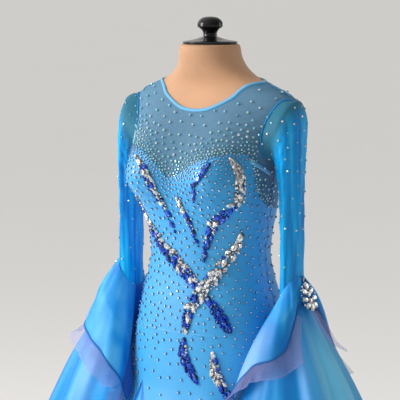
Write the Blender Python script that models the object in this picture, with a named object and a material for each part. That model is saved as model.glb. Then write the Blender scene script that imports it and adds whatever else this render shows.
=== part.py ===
"""Ballroom gown with long sleeves and elbow floats, standing on a limbless dress form.

Metres, +Z up. The gown faces -Y and the wearer's left is +X. The stand's foot rests
on Z = 0 with its pole on the Z axis. Every cloth piece is a closed thin wall.
"""

import math
from collections import namedtuple

import bmesh
import bpy
from mathutils import Vector

# ---------------------------------------------------------------- driving dimensions

SEAM_GAP = 0.0004          # between two pieces that are sewn edge to edge
BODY_GAP = 0.0011          # between the form's jersey and the bodice
YOKE_GAP = 0.0016          # between the form's jersey and the sheer yoke
MESH_WALL = 0.0010         # sheer stretch mesh of yoke and sleeves
BODICE_WALL = 0.0016       # opaque stretch crepe
SKIRT_WALL = 0.0018
ORGANZA_WALL = 0.0012
CRIN_WALL = 0.0010         # horsehair braid

FORM_BOTTOM = 0.720        # underside of the padded figure
HIP_SEAM = 0.900           # seam between bodice and skirt
NECK_TOP = 1.4670          # flat top of the form's neck
SKIRT_HEM = 0.070

BUST_HEIGHT = 1.205        # level of the bust points
BUST_APART = 0.087         # each bust point from the centre front
BUST_OUT = 0.050           # how far each cup stands out of the plain figure
BUST_SPREAD = 0.064        # sideways softness of a cup
BUST_RISE = 0.082          # softness of a cup above its point
BUST_FALL = 0.050          # softness of a cup below its point

BINDING_WIDTH = 0.0075     # elastic round the neckline
BINDING_WALL = 0.0022

ARM_X = 0.1990             # middle of each hanging sleeve, from the centre
ARM_Y = -0.0120            # and how far forward it hangs
SLEEVE_HALF_X = 0.0179     # half thickness of the empty sleeve, side to side
SLEEVE_HALF_Y = 0.0325     # half depth of the empty sleeve, front to back
ELBOW_Z = 0.987            # middle of the slanted elbow seam
ELBOW_SLANT = 0.031        # the seam is this much higher outside, lower inside
ELBOW_GAP = 0.0024         # upright gap in the slanted elbow seam

FALL_HEM_Z = 0.600         # hem of the long inner float
CRIN_WIDTH = 0.040         # horsehair braid on the wrap's hem
WRAP_CLEAR = 0.007         # the wrap float stays this far off the skirt
FALL_CLEAR = 0.019         # the long float stays this far off the skirt

PLATE_THICK = 0.016
POLE_RADIUS = 0.016
COLLAR_RADIUS = 0.030
COLLAR_HEIGHT = 0.050
FOOT_RADIUS = 0.200
FOOT_THICK = 0.014

Section = namedtuple("Section", "z half_width front back centre_y power")

# The plain figure, without its cups. Power 2 is an ellipse, more is squarer.
FIGURE = (
    Section(0.720, 0.1580, 0.1040, 0.1140, 0.000, 2.20),
    Section(0.780, 0.1670, 0.1170, 0.1240, 0.000, 2.20),
    Section(0.840, 0.1665, 0.1190, 0.1250, 0.000, 2.20),
    Section(0.900, 0.1590, 0.1160, 0.1180, -0.001, 2.15),
    Section(0.960, 0.1480, 0.1080, 0.1050, -0.002, 2.10),
    Section(1.010, 0.1350, 0.0995, 0.0940, -0.003, 2.05),
    Section(1.050, 0.1285, 0.0970, 0.0895, -0.004, 2.00),
    Section(1.090, 0.1310, 0.0980, 0.0920, -0.004, 2.05),
    Section(1.130, 0.1375, 0.1020, 0.0980, -0.004, 2.10),
    Section(1.170, 0.1435, 0.1065, 0.1040, -0.003, 2.15),
    Section(1.210, 0.1475, 0.1100, 0.1080, -0.002, 2.20),
    Section(1.250, 0.1510, 0.1045, 0.1100, 0.000, 2.30),
    Section(1.290, 0.1650, 0.0915, 0.1080, 0.003, 2.40),
    Section(1.320, 0.1770, 0.0760, 0.1020, 0.006, 2.35),
    Section(1.345, 0.1850, 0.0635, 0.0920, 0.007, 2.20),
    Section(1.358, 0.1855, 0.0575, 0.0840, 0.007, 2.10),
    Section(1.370, 0.1730, 0.0530, 0.0765, 0.006, 2.05),
    Section(1.382, 0.1450, 0.0500, 0.0700, 0.005, 2.00),
    Section(1.394, 0.1180, 0.0495, 0.0660, 0.003, 2.00),
    Section(1.408, 0.0920, 0.0530, 0.0635, 0.000, 2.00),
    Section(1.425, 0.0735, 0.0570, 0.0615, -0.003, 2.00),
    Section(1.445, 0.0640, 0.0600, 0.0605, -0.007, 2.00),
    Section(1.460, 0.0612, 0.0608, 0.0608, -0.008, 2.00),
    Section(1.467, 0.0580, 0.0580, 0.0580, -0.008, 2.00),
)

SkirtRow = namedtuple("SkirtRow", "z half_width front back centre_y flute")

# The skirt's own sections: close over the hip, then flared, with flutes of this depth.
SKIRT = (
    SkirtRow(0.070, 0.4400, 0.4180, 0.4550, 0.014, 0.0680),
    SkirtRow(0.200, 0.3960, 0.3720, 0.4080, 0.012, 0.0600),
    SkirtRow(0.340, 0.3450, 0.3180, 0.3500, 0.010, 0.0500),
    SkirtRow(0.480, 0.2880, 0.2580, 0.2850, 0.008, 0.0380),
    SkirtRow(0.600, 0.2360, 0.2010, 0.2200, 0.005, 0.0240),
    SkirtRow(0.680, 0.2020, 0.1620, 0.1760, 0.003, 0.0130),
    SkirtRow(0.740, 0.1830, 0.1370, 0.1450, 0.001, 0.0050),
    SkirtRow(0.790, 0.1735, 0.1245, 0.1310, 0.000, 0.0005),
    SkirtRow(0.840, 0.1700, 0.1225, 0.1285, 0.000, 0.0000),
    SkirtRow(0.900, 0.1625, 0.1195, 0.1215, -0.001, 0.0000),
)
SKIRT_POWER = 2.18
SKIRT_ROWS = (0.900, 0.840, 0.790, 0.745, 0.690, 0.600, 0.480, 0.350, 0.200, 0.070)

GORE_SEAMS = (-31.0, 22.5, 86.0, 148.0, 207.0, 266.0)   # degrees from the centre front
GORE_COLUMNS = 8
GODET_COLUMNS = 4
GODET_ANGLE = 13.0         # half of the angle that a godet takes at the hem
GODET_OPENS = 0.045        # how quickly a godet widens below its point
GODET_TOPS = (0.790, 0.745, 0.745, 0.745, 0.745, 0.745)

EdgePoint = namedtuple("EdgePoint", "degrees z")

# Upper edge of the opaque bodice: sweetheart in front, low at the sides and back.
SWEETHEART = (
    EdgePoint(-90, 1.152), EdgePoint(-81, 1.162), EdgePoint(-73, 1.190),
    EdgePoint(-64, 1.248), EdgePoint(-56, 1.266), EdgePoint(-40, 1.266),
    EdgePoint(-24, 1.256), EdgePoint(-12, 1.232), EdgePoint(-4, 1.210),
    EdgePoint(6, 1.222), EdgePoint(16, 1.240), EdgePoint(32, 1.256),
    EdgePoint(48, 1.262), EdgePoint(57, 1.260), EdgePoint(65, 1.242),
    EdgePoint(73, 1.187), EdgePoint(81, 1.160), EdgePoint(90, 1.152),
)
BACK_EDGE = (EdgePoint(90, 1.152), EdgePoint(130, 1.132), EdgePoint(180, 1.105))
NECKLINE = (EdgePoint(0, 1.3405), EdgePoint(5, 1.3422), EdgePoint(10, 1.3466),
            EdgePoint(16, 1.3548), EdgePoint(24, 1.3665), EdgePoint(32, 1.3762),
            EdgePoint(40, 1.3832), EdgePoint(50, 1.3890), EdgePoint(62, 1.3925),
            EdgePoint(76, 1.3941), EdgePoint(90, 1.3945), EdgePoint(135, 1.4000),
            EdgePoint(180, 1.4040))

# Columns round half of the figure; the other half mirrors them.
HALF_COLUMNS = (0, 8, 16, 24, 32, 40, 48, 56, 64, 73, 81, 90,
                100, 111, 124, 138, 152, 166, 180)
LOW_ROWS = (0.720, 0.780, 0.840)
BODICE_STEPS = (0.0, 0.12, 0.24, 0.36, 0.48, 0.58, 0.67, 0.75, 0.82, 0.88, 0.94, 1.0)
YOKE_STEPS = (0.0, 0.19, 0.38, 0.49, 0.61, 0.74, 0.87, 1.0)
NECK_STEPS = (0.4, 0.75)
NECK_ROWS = (1.422, 1.445, 1.460, NECK_TOP)

Lean = namedtuple("Lean", "z degrees")

# How far the armhole's front and back edges lean towards the middle at each height.
ARMHOLE_LEAN = (Lean(1.225, 0.0), Lean(1.250, 1.5), Lean(1.270, 5.5), Lean(1.288, 10.5),
                Lean(1.316, 16.0), Lean(1.344, 14.5), Lean(1.362, 6.0), Lean(1.376, 0.0))
FRONT_ARMHOLE = 73
BACK_ARMHOLE = 111
ARMHOLE_LOW = 2            # yoke rows between which the armhole lies open
ARMHOLE_HIGH = 6

SleeveRow = namedtuple("SleeveRow", "top_x top_z under_x under_z centre_y half_depth")

# The sleeve's rings, from the cap to the elbow: outer point, underarm point, depth.
SLEEVE = (
    SleeveRow(0.2030, 1.3590, 0.1585, 1.2410, -0.001, 0.0510),
    SleeveRow(0.2130, 1.3370, 0.1680, 1.2260, -0.004, 0.0480),
    SleeveRow(0.2160, 1.3000, 0.1745, 1.2060, -0.008, 0.0425),
    SleeveRow(0.2168, 1.2560, 0.1790, 1.1860, -0.011, 0.0380),
    SleeveRow(0.2170, 1.2080, 0.1808, 1.1600, -0.012, 0.0350),
    SleeveRow(0.2169, 1.1560, 0.1811, 1.1250, -0.012, 0.0330),
    SleeveRow(0.2169, 1.0900, 0.1811, 1.0620, -0.012, 0.0325),
    SleeveRow(0.2169, 1.0180, 0.1811, 0.9560, -0.012, 0.0325),
)

FallRow = namedtuple("FallRow", "drop centre_x centre_y radius_x radius_y bulge fold")

# The long inner float, from the elbow seam (drop 0) to its hem (drop 1).
FALL = (
    FallRow(0.00, 0.1990, -0.012, 0.0179, 0.0325, 0.000, 0.0000),
    FallRow(0.06, 0.2010, -0.012, 0.0225, 0.0360, 0.000, 0.0010),
    FallRow(0.15, 0.2050, -0.013, 0.0365, 0.0470, 0.003, 0.0020),
    FallRow(0.28, 0.2140, -0.014, 0.0590, 0.0690, 0.012, 0.0045),
    FallRow(0.42, 0.2260, -0.016, 0.0820, 0.0910, 0.024, 0.0075),
    FallRow(0.56, 0.2360, -0.018, 0.1010, 0.1080, 0.034, 0.0100),
    FallRow(0.76, 0.2600, -0.022, 0.1180, 0.1240, 0.010, 0.0130),
    FallRow(1.00, 0.2880, -0.026, 0.1340, 0.1380, 0.000, 0.0170),
)
FALL_COLUMNS = 32
FALL_FOLDS = 8
FALL_BULGE_AT = 128.0      # the bulge lies in front of the hip
FALL_BULGE_SPREAD = 38.0

HemPoint = namedtuple("HemPoint", "along turn x y z")

# Hems of the two wrap floats, both as on the wearer's left, from the brooch down the
# front edge, round, and up the back edge. Turn is the angle on the elbow ring that each
# point hangs from: 0 is the outer side, 90 the front, 180 the inner side.
WRAP_HEMS = {
    "left": (
        HemPoint(0.00, 14, 0.2262, -0.0210, 1.0110),
        HemPoint(0.06, 26, 0.2310, -0.0229, 0.9900),
        HemPoint(0.12, 38, 0.2330, -0.0420, 0.9630),
        HemPoint(0.18, 50, 0.2350, -0.0620, 0.9298),
        HemPoint(0.25, 66, 0.2390, -0.0900, 0.8967),
        HemPoint(0.31, 82, 0.2262, -0.1170, 0.8778),
        HemPoint(0.37, 98, 0.1973, -0.1340, 0.8663),
        HemPoint(0.43, 116, 0.1745, -0.1370, 0.8441),
        HemPoint(0.49, 134, 0.1445, -0.1300, 0.7969),
        HemPoint(0.56, 152, 0.1450, -0.1180, 0.7520),
        HemPoint(0.64, 170, 0.1700, -0.0600, 0.8425),
        HemPoint(0.73, 194, 0.1730, 0.0000, 0.9250),
        HemPoint(0.82, 226, 0.2000, 0.0850, 0.8300),
        HemPoint(0.89, 264, 0.2300, 0.1050, 0.8300),
        HemPoint(0.95, 304, 0.2470, 0.0640, 0.8900),
        HemPoint(1.00, 346, 0.2262, -0.0030, 1.0110),
    ),
    "right": (
        HemPoint(0.00, 14, 0.2262, -0.0210, 1.0110),
        HemPoint(0.06, 26, 0.2310, -0.0229, 0.9900),
        HemPoint(0.12, 38, 0.2390, -0.0460, 0.9546),
        HemPoint(0.18, 50, 0.2560, -0.0680, 0.9196),
        HemPoint(0.25, 66, 0.2554, -0.0940, 0.8885),
        HemPoint(0.31, 82, 0.2252, -0.1210, 0.8654),
        HemPoint(0.37, 98, 0.1871, -0.1350, 0.8436),
        HemPoint(0.43, 116, 0.1569, -0.1370, 0.8148),
        HemPoint(0.49, 134, 0.1357, -0.1300, 0.7853),
        HemPoint(0.56, 152, 0.1377, -0.1150, 0.7464),
        HemPoint(0.64, 170, 0.1700, -0.0600, 0.8425),
        HemPoint(0.73, 194, 0.1730, 0.0000, 0.9250),
        HemPoint(0.82, 226, 0.2000, 0.0850, 0.8300),
        HemPoint(0.89, 264, 0.2300, 0.1050, 0.8300),
        HemPoint(0.95, 304, 0.2470, 0.0640, 0.8900),
        HemPoint(1.00, 346, 0.2262, -0.0030, 1.0110),
    ),
}
WRAP_COLUMNS = 30
WRAP_ROWS = (0.0, 0.10, 0.28, 0.52, 0.78, 1.0)
WRAP_HUMP = 0.010          # how far the wrap bellies out between its seam and its hem
CRIN_STARTS = 0.13
CRIN_ENDS = 0.96
CRIN_TURNED_AT = 0.69      # the braid is turned under beside the body

TailPoint = namedtuple("TailPoint", "x y z twist")

# Middle line of the braid's loose end, and how far it has turned over.
TAIL = (TailPoint(0.2538, -0.0130, 0.9548, 20), TailPoint(0.2735, -0.0030, 0.9205, 40),
        TailPoint(0.2860, 0.0010, 0.9020, 95), TailPoint(0.3000, 0.0030, 0.8920, 130),
        TailPoint(0.3165, 0.0040, 0.8850, 140))
TAIL_WIDTH = 0.016

Stroke = namedtuple("Stroke", "name half_width path")

# Sprays of sewn stones: each a tapering stroke through (degrees, z) points.
SPRAYS = (
    Stroke("spray_right_bust", 0.0090,
           ((-31, 1.248), (-20, 1.222), (-16, 1.199), (-13, 1.160), (-6, 1.100))),
    Stroke("spray_left_bust_arc", 0.0065,
           ((31, 1.244), (28, 1.226), (22, 1.200), (17, 1.167))),
    Stroke("spray_midriff", 0.0065,
           ((1, 1.175), (4, 1.148), (9, 1.118), (17, 1.074))),
    Stroke("spray_left_bust", 0.0125,
           ((46, 1.250), (53, 1.234), (58, 1.210), (57, 1.178), (44, 1.150), (31, 1.122),
            (25, 1.085), (22, 1.045))),
    Stroke("spray_right_waist", 0.0150,
           ((-58, 1.176), (-52, 1.130), (-34, 1.088), (-17, 1.060), (-1, 1.034),
            (7, 1.015), (14, 0.9985))),
    Stroke("spray_left_hip", 0.0120, ((24, 0.974), (34, 0.939), (41, 0.908))),
    Stroke("spray_left_waist", 0.0150,
           ((56, 1.096), (50, 1.066), (36, 1.031), (24, 1.000), (13, 0.966), (7, 0.930),
            (6, 0.907))),
)
SKIRT_SPRAYS = (
    Stroke("spray_skirt_front", 0.0120, ((5, 0.893), (5, 0.862), (9, 0.835), (15, 0.806))),
    Stroke("spray_skirt_left", 0.0110, ((27, 0.868), (28, 0.836), (33, 0.806), (42, 0.766))),
)
SPRAY_THICK = 0.0034
SPRAY_LIFT = 0.0026        # the middle of a stroke stands this far off its panel

RIGHT = -1
LEFT = 1
SIDES = ((LEFT, "left"), (RIGHT, "right"))


# ---------------------------------------------------------------- small mathematics

def hermite(xs, ys, x):
    """Smooth value at x through the points, with three-point slopes."""
    if x <= xs[0]:
        return ys[0]
    if x >= xs[-1]:
        return ys[-1]
    i = 0
    while xs[i + 1] < x:
        i += 1
    width = xs[i + 1] - xs[i]
    t = (x - xs[i]) / width
    rise = (ys[i + 1] - ys[i]) / width

    def slope(k):
        if k == 0 or k == len(xs) - 1:
            return rise
        before = (ys[k] - ys[k - 1]) / (xs[k] - xs[k - 1])
        after = (ys[k + 1] - ys[k]) / (xs[k + 1] - xs[k])
        if before * after <= 0.0:
            return 0.0
        return 2.0 * before * after / (before + after)

    start, end = slope(i) * width, slope(i + 1) * width
    return ((2 * t ** 3 - 3 * t ** 2 + 1) * ys[i] + (t ** 3 - 2 * t ** 2 + t) * start
            + (3 * t ** 2 - 2 * t ** 3) * ys[i + 1] + (t ** 3 - t ** 2) * end)


def table_row(table, x):
    """The table's other columns at key x, as a list."""
    keys = [row[0] for row in table]
    return [hermite(keys, [row[k] for row in table], x) for k in range(1, len(table[0]))]


def signed_power(value, power):
    return math.copysign(abs(value) ** power, value)


def hump(value, spread):
    return math.exp(-(value / spread) ** 2)


# ---------------------------------------------------------------- the figure

def figure_point(degrees, z):
    """A point of the form's surface. 0 degrees is the front, 90 the wearer's left."""
    half_width, front, back, centre_y, power = table_row(FIGURE, z)
    across = math.sin(math.radians(degrees))
    ahead = math.cos(math.radians(degrees))
    x = half_width * signed_power(across, 2.0 / power)
    depth = front if ahead > 0.0 else back
    y = centre_y - depth * signed_power(ahead, 2.0 / power)
    if ahead > 0.0:
        softness = BUST_RISE if z > BUST_HEIGHT else BUST_FALL
        level = hump(z - BUST_HEIGHT, softness)
        cups = hump(x - BUST_APART, BUST_SPREAD) + hump(x + BUST_APART, BUST_SPREAD)
        swell = BUST_OUT * level * cups * min(1.0, 2.2 * ahead)
        y -= swell
        x += 0.16 * swell * x / BUST_APART
    return Vector((x, y, z))


def figure_out(degrees, z, out):
    """A point that lies out from the form's surface, square to it."""
    turn, rise = 1.0, 0.002
    low, high = z - rise, min(z + rise, NECK_TOP)
    along = figure_point(degrees + turn, z) - figure_point(degrees - turn, z)
    up = figure_point(degrees, high) - figure_point(degrees, low)
    return figure_point(degrees, z) + along.cross(up).normalized() * out


def sweetheart(degrees):
    side = abs(degrees)
    if side > 90:
        return table_row(BACK_EDGE, side)[0]
    return table_row(SWEETHEART, degrees)[0]


def neckline(degrees):
    return table_row(NECKLINE, abs(degrees))[0]


def down_the_surface(degrees, z, distance):
    """The height of the point that lies this distance below z along the figure."""
    start = figure_point(degrees, z)
    low, high = 0.0, distance
    for _ in range(24):
        middle = (low + high) / 2
        if (figure_point(degrees, z - middle) - start).length < distance:
            low = middle
        else:
            high = middle
    return z - low


# ---------------------------------------------------------------- the shared lattice

COLUMNS = [-d for d in reversed(HALF_COLUMNS[1:-1])] + list(HALF_COLUMNS)
FIRST_BODICE_ROW = len(LOW_ROWS)
FIRST_YOKE_ROW = FIRST_BODICE_ROW + len(BODICE_STEPS) - 1
YOKE_TOP_ROW = FIRST_YOKE_ROW + len(YOKE_STEPS) - 1
NECKLINE_ROW = YOKE_TOP_ROW + 1
FIRST_NECK_ROW = NECKLINE_ROW + 1
LAST_ROW = NECKLINE_ROW + len(NECK_STEPS) + len(NECK_ROWS)
LOW_ARM_ROW = FIRST_YOKE_ROW + ARMHOLE_LOW
HIGH_ARM_ROW = FIRST_YOKE_ROW + ARMHOLE_HIGH


def armhole_weight(side):
    """How much a column shares of the armhole's lean: all at its edges."""
    if side <= FRONT_ARMHOLE:
        return max(0.0, (side - 20.0) / (FRONT_ARMHOLE - 20.0)) ** 1.3
    if side < 90:
        return (90.0 - side) / (90.0 - FRONT_ARMHOLE)
    if side <= BACK_ARMHOLE:
        return -(side - 90.0) / (BACK_ARMHOLE - 90.0)
    return -max(0.0, (170.0 - side) / (170.0 - BACK_ARMHOLE)) ** 1.3


def lattice(column, row):
    """Degrees and height of a lattice point on the figure."""
    degrees = float(column)
    if row < FIRST_BODICE_ROW:
        return degrees, LOW_ROWS[row]
    if row <= FIRST_YOKE_ROW:
        step = BODICE_STEPS[row - FIRST_BODICE_ROW]
        return degrees, HIP_SEAM + step * (sweetheart(degrees) - HIP_SEAM)
    if row <= YOKE_TOP_ROW:
        low = sweetheart(degrees)
        high = down_the_surface(degrees, neckline(degrees), BINDING_WIDTH)
        z = low + YOKE_STEPS[row - FIRST_YOKE_ROW] * (high - low)
        lean = table_row(ARMHOLE_LEAN, z)[0] * armhole_weight(abs(degrees))
        return (degrees - lean if degrees > 0 else degrees + lean), z
    if row == NECKLINE_ROW:
        return degrees, neckline(degrees)
    k = row - FIRST_NECK_ROW
    if k < len(NECK_STEPS):
        low = neckline(degrees)
        return degrees, low + NECK_STEPS[k] * (NECK_ROWS[0] - low)
    return degrees, NECK_ROWS[k - len(NECK_STEPS)]


# ---------------------------------------------------------------- meshes

def material(name, colour, roughness, metallic=0.0):
    made = bpy.data.materials.new(name)
    made.use_nodes = True
    shader = made.node_tree.nodes["Principled BSDF"]
    shader.inputs["Base Color"].default_value = (*colour, 1.0)
    shader.inputs["Roughness"].default_value = roughness
    shader.inputs["Metallic"].default_value = metallic
    made.diffuse_color = (*colour, 1.0)
    return made


def add_object(name, points, faces, finish, smooth=True):
    mesh = bpy.data.meshes.new(name)
    body = bmesh.new()
    corners = [body.verts.new(point) for point in points]
    for face in faces:
        body.faces.new([corners[i] for i in face])
    bmesh.ops.recalc_face_normals(body, faces=body.faces)
    body.to_mesh(mesh)
    body.free()
    mesh.materials.append(finish)
    if smooth:
        mesh.shade_smooth()
        mesh.set_sharp_from_angle(angle=math.radians(40))
    made = bpy.data.objects.new(name, mesh)
    bpy.context.scene.collection.objects.link(made)
    return made


def two_triangles(a, b, c, d):
    """A quad's two triangles, cut the same way on every layer of cloth."""
    return [(a, b, c), (a, c, d)]


def lattice_cell(column, start, end, row):
    """A cell's corners, turned on the wearer's right so that its cut mirrors the left's."""
    corners = (start, row), (end, row), (end, row + 1), (start, row + 1)
    return corners[1:] + corners[:1] if column < 0 else corners


def wall(name, cells, outer, inner, finish):
    """A closed wall over lattice cells. Keys are (column, row) corner keys.

    cells lists four corner keys each, in order round the cell; outer and inner give
    each key's point on the two faces. Edges of the cloth are closed with strips.
    """
    keys = sorted({key for cell in cells for key in cell})
    index = {key: i for i, key in enumerate(keys)}
    shift = len(keys)
    points = [outer(key) for key in keys] + [inner(key) for key in keys]
    faces = []
    edges = {}
    for cell in cells:
        a, b, c, d = (index[key] for key in cell)
        faces += two_triangles(a, b, c, d)
        faces += [(t[2] + shift, t[1] + shift, t[0] + shift)
                  for t in two_triangles(a, b, c, d)]
        for start, end in ((a, b), (b, c), (c, d), (d, a)):
            if (end, start) in edges:
                del edges[(end, start)]
            else:
                edges[(start, end)] = True
    for start, end in edges:
        faces += two_triangles(end, start, start + shift, end + shift)
    return add_object(name, points, faces, finish)


def grid_normals(grid, closed):
    """Unit normals of a grid of points, rows by columns."""
    rows, columns = len(grid), len(grid[0])
    normals = []
    for r in range(rows):
        line = []
        for c in range(columns):
            above, below = grid[min(r + 1, rows - 1)][c], grid[max(r - 1, 0)][c]
            if closed:
                after, before = grid[r][(c + 1) % columns], grid[r][c - 1]
            else:
                after = grid[r][min(c + 1, columns - 1)]
                before = grid[r][max(c - 1, 0)]
            line.append((after - before).cross(above - below).normalized())
        normals.append(line)
    return normals


def sheet_wall(name, grid, thick, finish, closed=False, normals=None):
    """A closed wall whose middle runs through the grid's points."""
    normals = normals or grid_normals(grid, closed)
    rows, columns = len(grid), len(grid[0])
    spans = columns if closed else columns - 1
    cells = [((c, r), ((c + 1) % columns, r), ((c + 1) % columns, r + 1), (c, r + 1))
             for r in range(rows - 1) for c in range(spans)]

    def face(side):
        return lambda key: grid[key[1]][key[0]] + normals[key[1]][key[0]] * side * thick / 2

    return wall(name, cells, face(1), face(-1), finish)


def turned(name, profile, finish, centre=(0.0, 0.0), segments=28):
    """A round solid from (radius, z) points, top to bottom, closed on its axis."""
    points = []
    for radius, z in profile:
        for k in range(segments):
            turn = 2 * math.pi * k / segments
            points.append(Vector((centre[0] + radius * math.cos(turn),
                                  centre[1] + radius * math.sin(turn), z)))
    faces = []
    for r in range(len(profile) - 1):
        for k in range(segments):
            after = (k + 1) % segments
            faces.append((r * segments + k, r * segments + after,
                          (r + 1) * segments + after, (r + 1) * segments + k))
    faces.append(tuple(range(segments)))
    last = (len(profile) - 1) * segments
    faces.append(tuple(range(last, last + segments)))
    return add_object(name, points, faces, finish)


# ---------------------------------------------------------------- the form and stand

def make_form(finish):
    """The padded figure and neck, one closed solid with flat ends."""
    rows = range(LAST_ROW + 1)
    points = [figure_point(*lattice(column, row)) for row in rows for column in COLUMNS]
    count = len(COLUMNS)
    faces = []
    for row in range(LAST_ROW):
        for c in range(count):
            cell = lattice_cell(COLUMNS[c], c, (c + 1) % count, row)
            faces += two_triangles(*(r * count + k for k, r in cell))
    faces.append(tuple(range(count)))
    faces.append(tuple(range(LAST_ROW * count, (LAST_ROW + 1) * count)))
    return add_object("form_torso", points, faces, finish)


def make_stand(black, steel):
    neck = (0.0, -0.008)
    cap_low = NECK_TOP + SEAM_GAP
    turned("form_neck_cap", ((0.0150, cap_low + 0.0150), (0.0200, cap_low + 0.0120),
                             (0.0330, cap_low + 0.0080), (0.0535, cap_low + 0.0042),
                             (0.0550, cap_low + 0.0026), (0.0540, cap_low)),
           black, neck, segments=24)
    stem = cap_low + 0.0150 + SEAM_GAP
    turned("form_neck_knob", ((0.0060, stem + 0.0385), (0.0160, stem + 0.0358),
                              (0.0225, stem + 0.0310), (0.0252, stem + 0.0262),
                              (0.0255, stem + 0.0195), (0.0236, stem + 0.0172),
                              (0.0195, stem + 0.0135), (0.0150, stem + 0.0085),
                              (0.0135, stem + 0.0040), (0.0140, stem)),
           black, neck, segments=20)
    plate_top = FORM_BOTTOM - SEAM_GAP
    plate_low = plate_top - PLATE_THICK
    columns = len(COLUMNS)
    plate = []
    for z, inset in ((plate_top, 0.004), (plate_top - 0.003, 0.001),
                     (plate_low + 0.003, 0.001), (plate_low, 0.004)):
        for column in COLUMNS:
            edge = figure_point(column, FORM_BOTTOM)
            plate.append(Vector((edge.x, edge.y, 0.0)) * (1 - inset / edge.length)
                         + Vector((0.0, 0.0, z)))
    faces = [(r * columns + c, r * columns + (c + 1) % columns,
              (r + 1) * columns + (c + 1) % columns, (r + 1) * columns + c)
             for r in range(3) for c in range(columns)]
    faces.append(tuple(range(columns)))
    faces.append(tuple(range(3 * columns, 4 * columns)))
    add_object("form_bottom_plate", plate, faces, black)
    collar_top = plate_low - SEAM_GAP
    turned("stand_collar", ((COLLAR_RADIUS * 0.85, collar_top),
                            (COLLAR_RADIUS, collar_top - 0.004),
                            (COLLAR_RADIUS, collar_top - COLLAR_HEIGHT + 0.004),
                            (COLLAR_RADIUS * 0.85, collar_top - COLLAR_HEIGHT)),
           steel, segments=20)
    pole_top = collar_top - COLLAR_HEIGHT - SEAM_GAP
    pole_low = FOOT_THICK + 0.030 + SEAM_GAP
    turned("stand_pole", ((POLE_RADIUS, pole_top), (POLE_RADIUS, pole_low)),
           steel, segments=16)
    turned("stand_foot", ((0.020, FOOT_THICK + 0.030), (0.024, FOOT_THICK + 0.026),
                          (0.030, FOOT_THICK + 0.006), (FOOT_RADIUS - 0.030, FOOT_THICK),
                          (FOOT_RADIUS - 0.002, FOOT_THICK - 0.006),
                          (FOOT_RADIUS, FOOT_THICK - 0.010), (FOOT_RADIUS - 0.002, 0.0)),
           steel, segments=32)


# ---------------------------------------------------------------- bodice and yoke

def body_piece(name, first, last, rows, layer, finish, hole=False):
    """A panel over the lattice between two columns and two rows; layer is the gap
    under it and its thickness."""
    gap, thick = layer
    start, end = COLUMNS.index(first), COLUMNS.index(last)
    if end <= start:
        end += len(COLUMNS)
    span = [COLUMNS[k % len(COLUMNS)] for k in range(start, end + 1)]
    low, high = rows
    cells = []
    for k in range(len(span) - 1):
        middle = (abs(span[k]) + abs(span[k + 1])) / 2
        for row in range(low, high):
            open_arm = (FRONT_ARMHOLE < middle < BACK_ARMHOLE
                        and LOW_ARM_ROW <= row < HIGH_ARM_ROW)
            if not (hole and open_arm):
                cells.append(lattice_cell(span[k], k, k + 1, row))

    def place(key, out):
        degrees, z = lattice(span[key[0]], key[1])
        if key[0] == 0:
            degrees += 0.12
        if key[0] == len(span) - 1:
            degrees -= 0.12
        if key[1] == low:
            z += SEAM_GAP
        if key[1] == high:
            z -= SEAM_GAP
        return figure_out(degrees, z, out)

    return wall(name, cells, lambda key: place(key, gap + thick),
                lambda key: place(key, gap), finish)


def make_binding(finish):
    """The elastic round the neckline, above the edge of the mesh."""
    count = len(COLUMNS)

    def place(key, out):
        return figure_out(*lattice(COLUMNS[key[0]], YOKE_TOP_ROW + key[1]), out)

    cells = [lattice_cell(COLUMNS[c], c, (c + 1) % count, 0) for c in range(count)]
    return wall("neck_binding", cells, lambda key: place(key, BODY_GAP + BINDING_WALL),
                lambda key: place(key, BODY_GAP), finish)


# ---------------------------------------------------------------- sleeves

def armhole_keys():
    """Lattice points round the left armhole: from its top by the front and the back."""
    front = [c for c in HALF_COLUMNS if FRONT_ARMHOLE <= c < 90][::-1]
    back = [c for c in HALF_COLUMNS if 90 < c <= BACK_ARMHOLE]
    climb = list(range(LOW_ARM_ROW + 1, HIGH_ARM_ROW))
    keys = [(90, HIGH_ARM_ROW)]
    keys += [(c, HIGH_ARM_ROW) for c in front]
    keys += [(FRONT_ARMHOLE, row) for row in reversed(climb)]
    keys += [(c, LOW_ARM_ROW) for c in reversed(front)]
    keys += [(90, LOW_ARM_ROW)]
    keys += [(c, LOW_ARM_ROW) for c in back]
    keys += [(BACK_ARMHOLE, row) for row in climb]
    keys += [(c, HIGH_ARM_ROW) for c in reversed(back)]
    return keys


def sleeve_grid(side):
    """Rings of the sleeve, armhole first, as points of its middle surface."""
    keys = armhole_keys()
    middle = YOKE_GAP + MESH_WALL / 2
    ring = [figure_out(*lattice(column, row), middle) for column, row in keys]
    centre = sum(ring, Vector()) / len(ring)
    inset = 0.0020
    rows = [[point + (centre - point).normalized() * inset for point in ring]]
    for row in SLEEVE:
        top = Vector((row.top_x, row.centre_y, row.top_z))
        under = Vector((row.under_x, row.centre_y, row.under_z))
        middle_point, half = (top + under) / 2, (top - under) / 2
        line = []
        for k in range(len(keys)):
            turn = 2 * math.pi * k / len(keys)
            line.append(middle_point + half * math.cos(turn)
                        + Vector((0.0, -row.half_depth * math.sin(turn), 0.0)))
        rows.append(line)
    return [[Vector((side * p.x, p.y, p.z)) for p in line] for line in rows]


# ---------------------------------------------------------------- skirt

def seam_angle(seam):
    """A seam's bearing; the seams after the last one go round again."""
    return GORE_SEAMS[seam % len(GORE_SEAMS)] + 360.0 * (seam // len(GORE_SEAMS))


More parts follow.
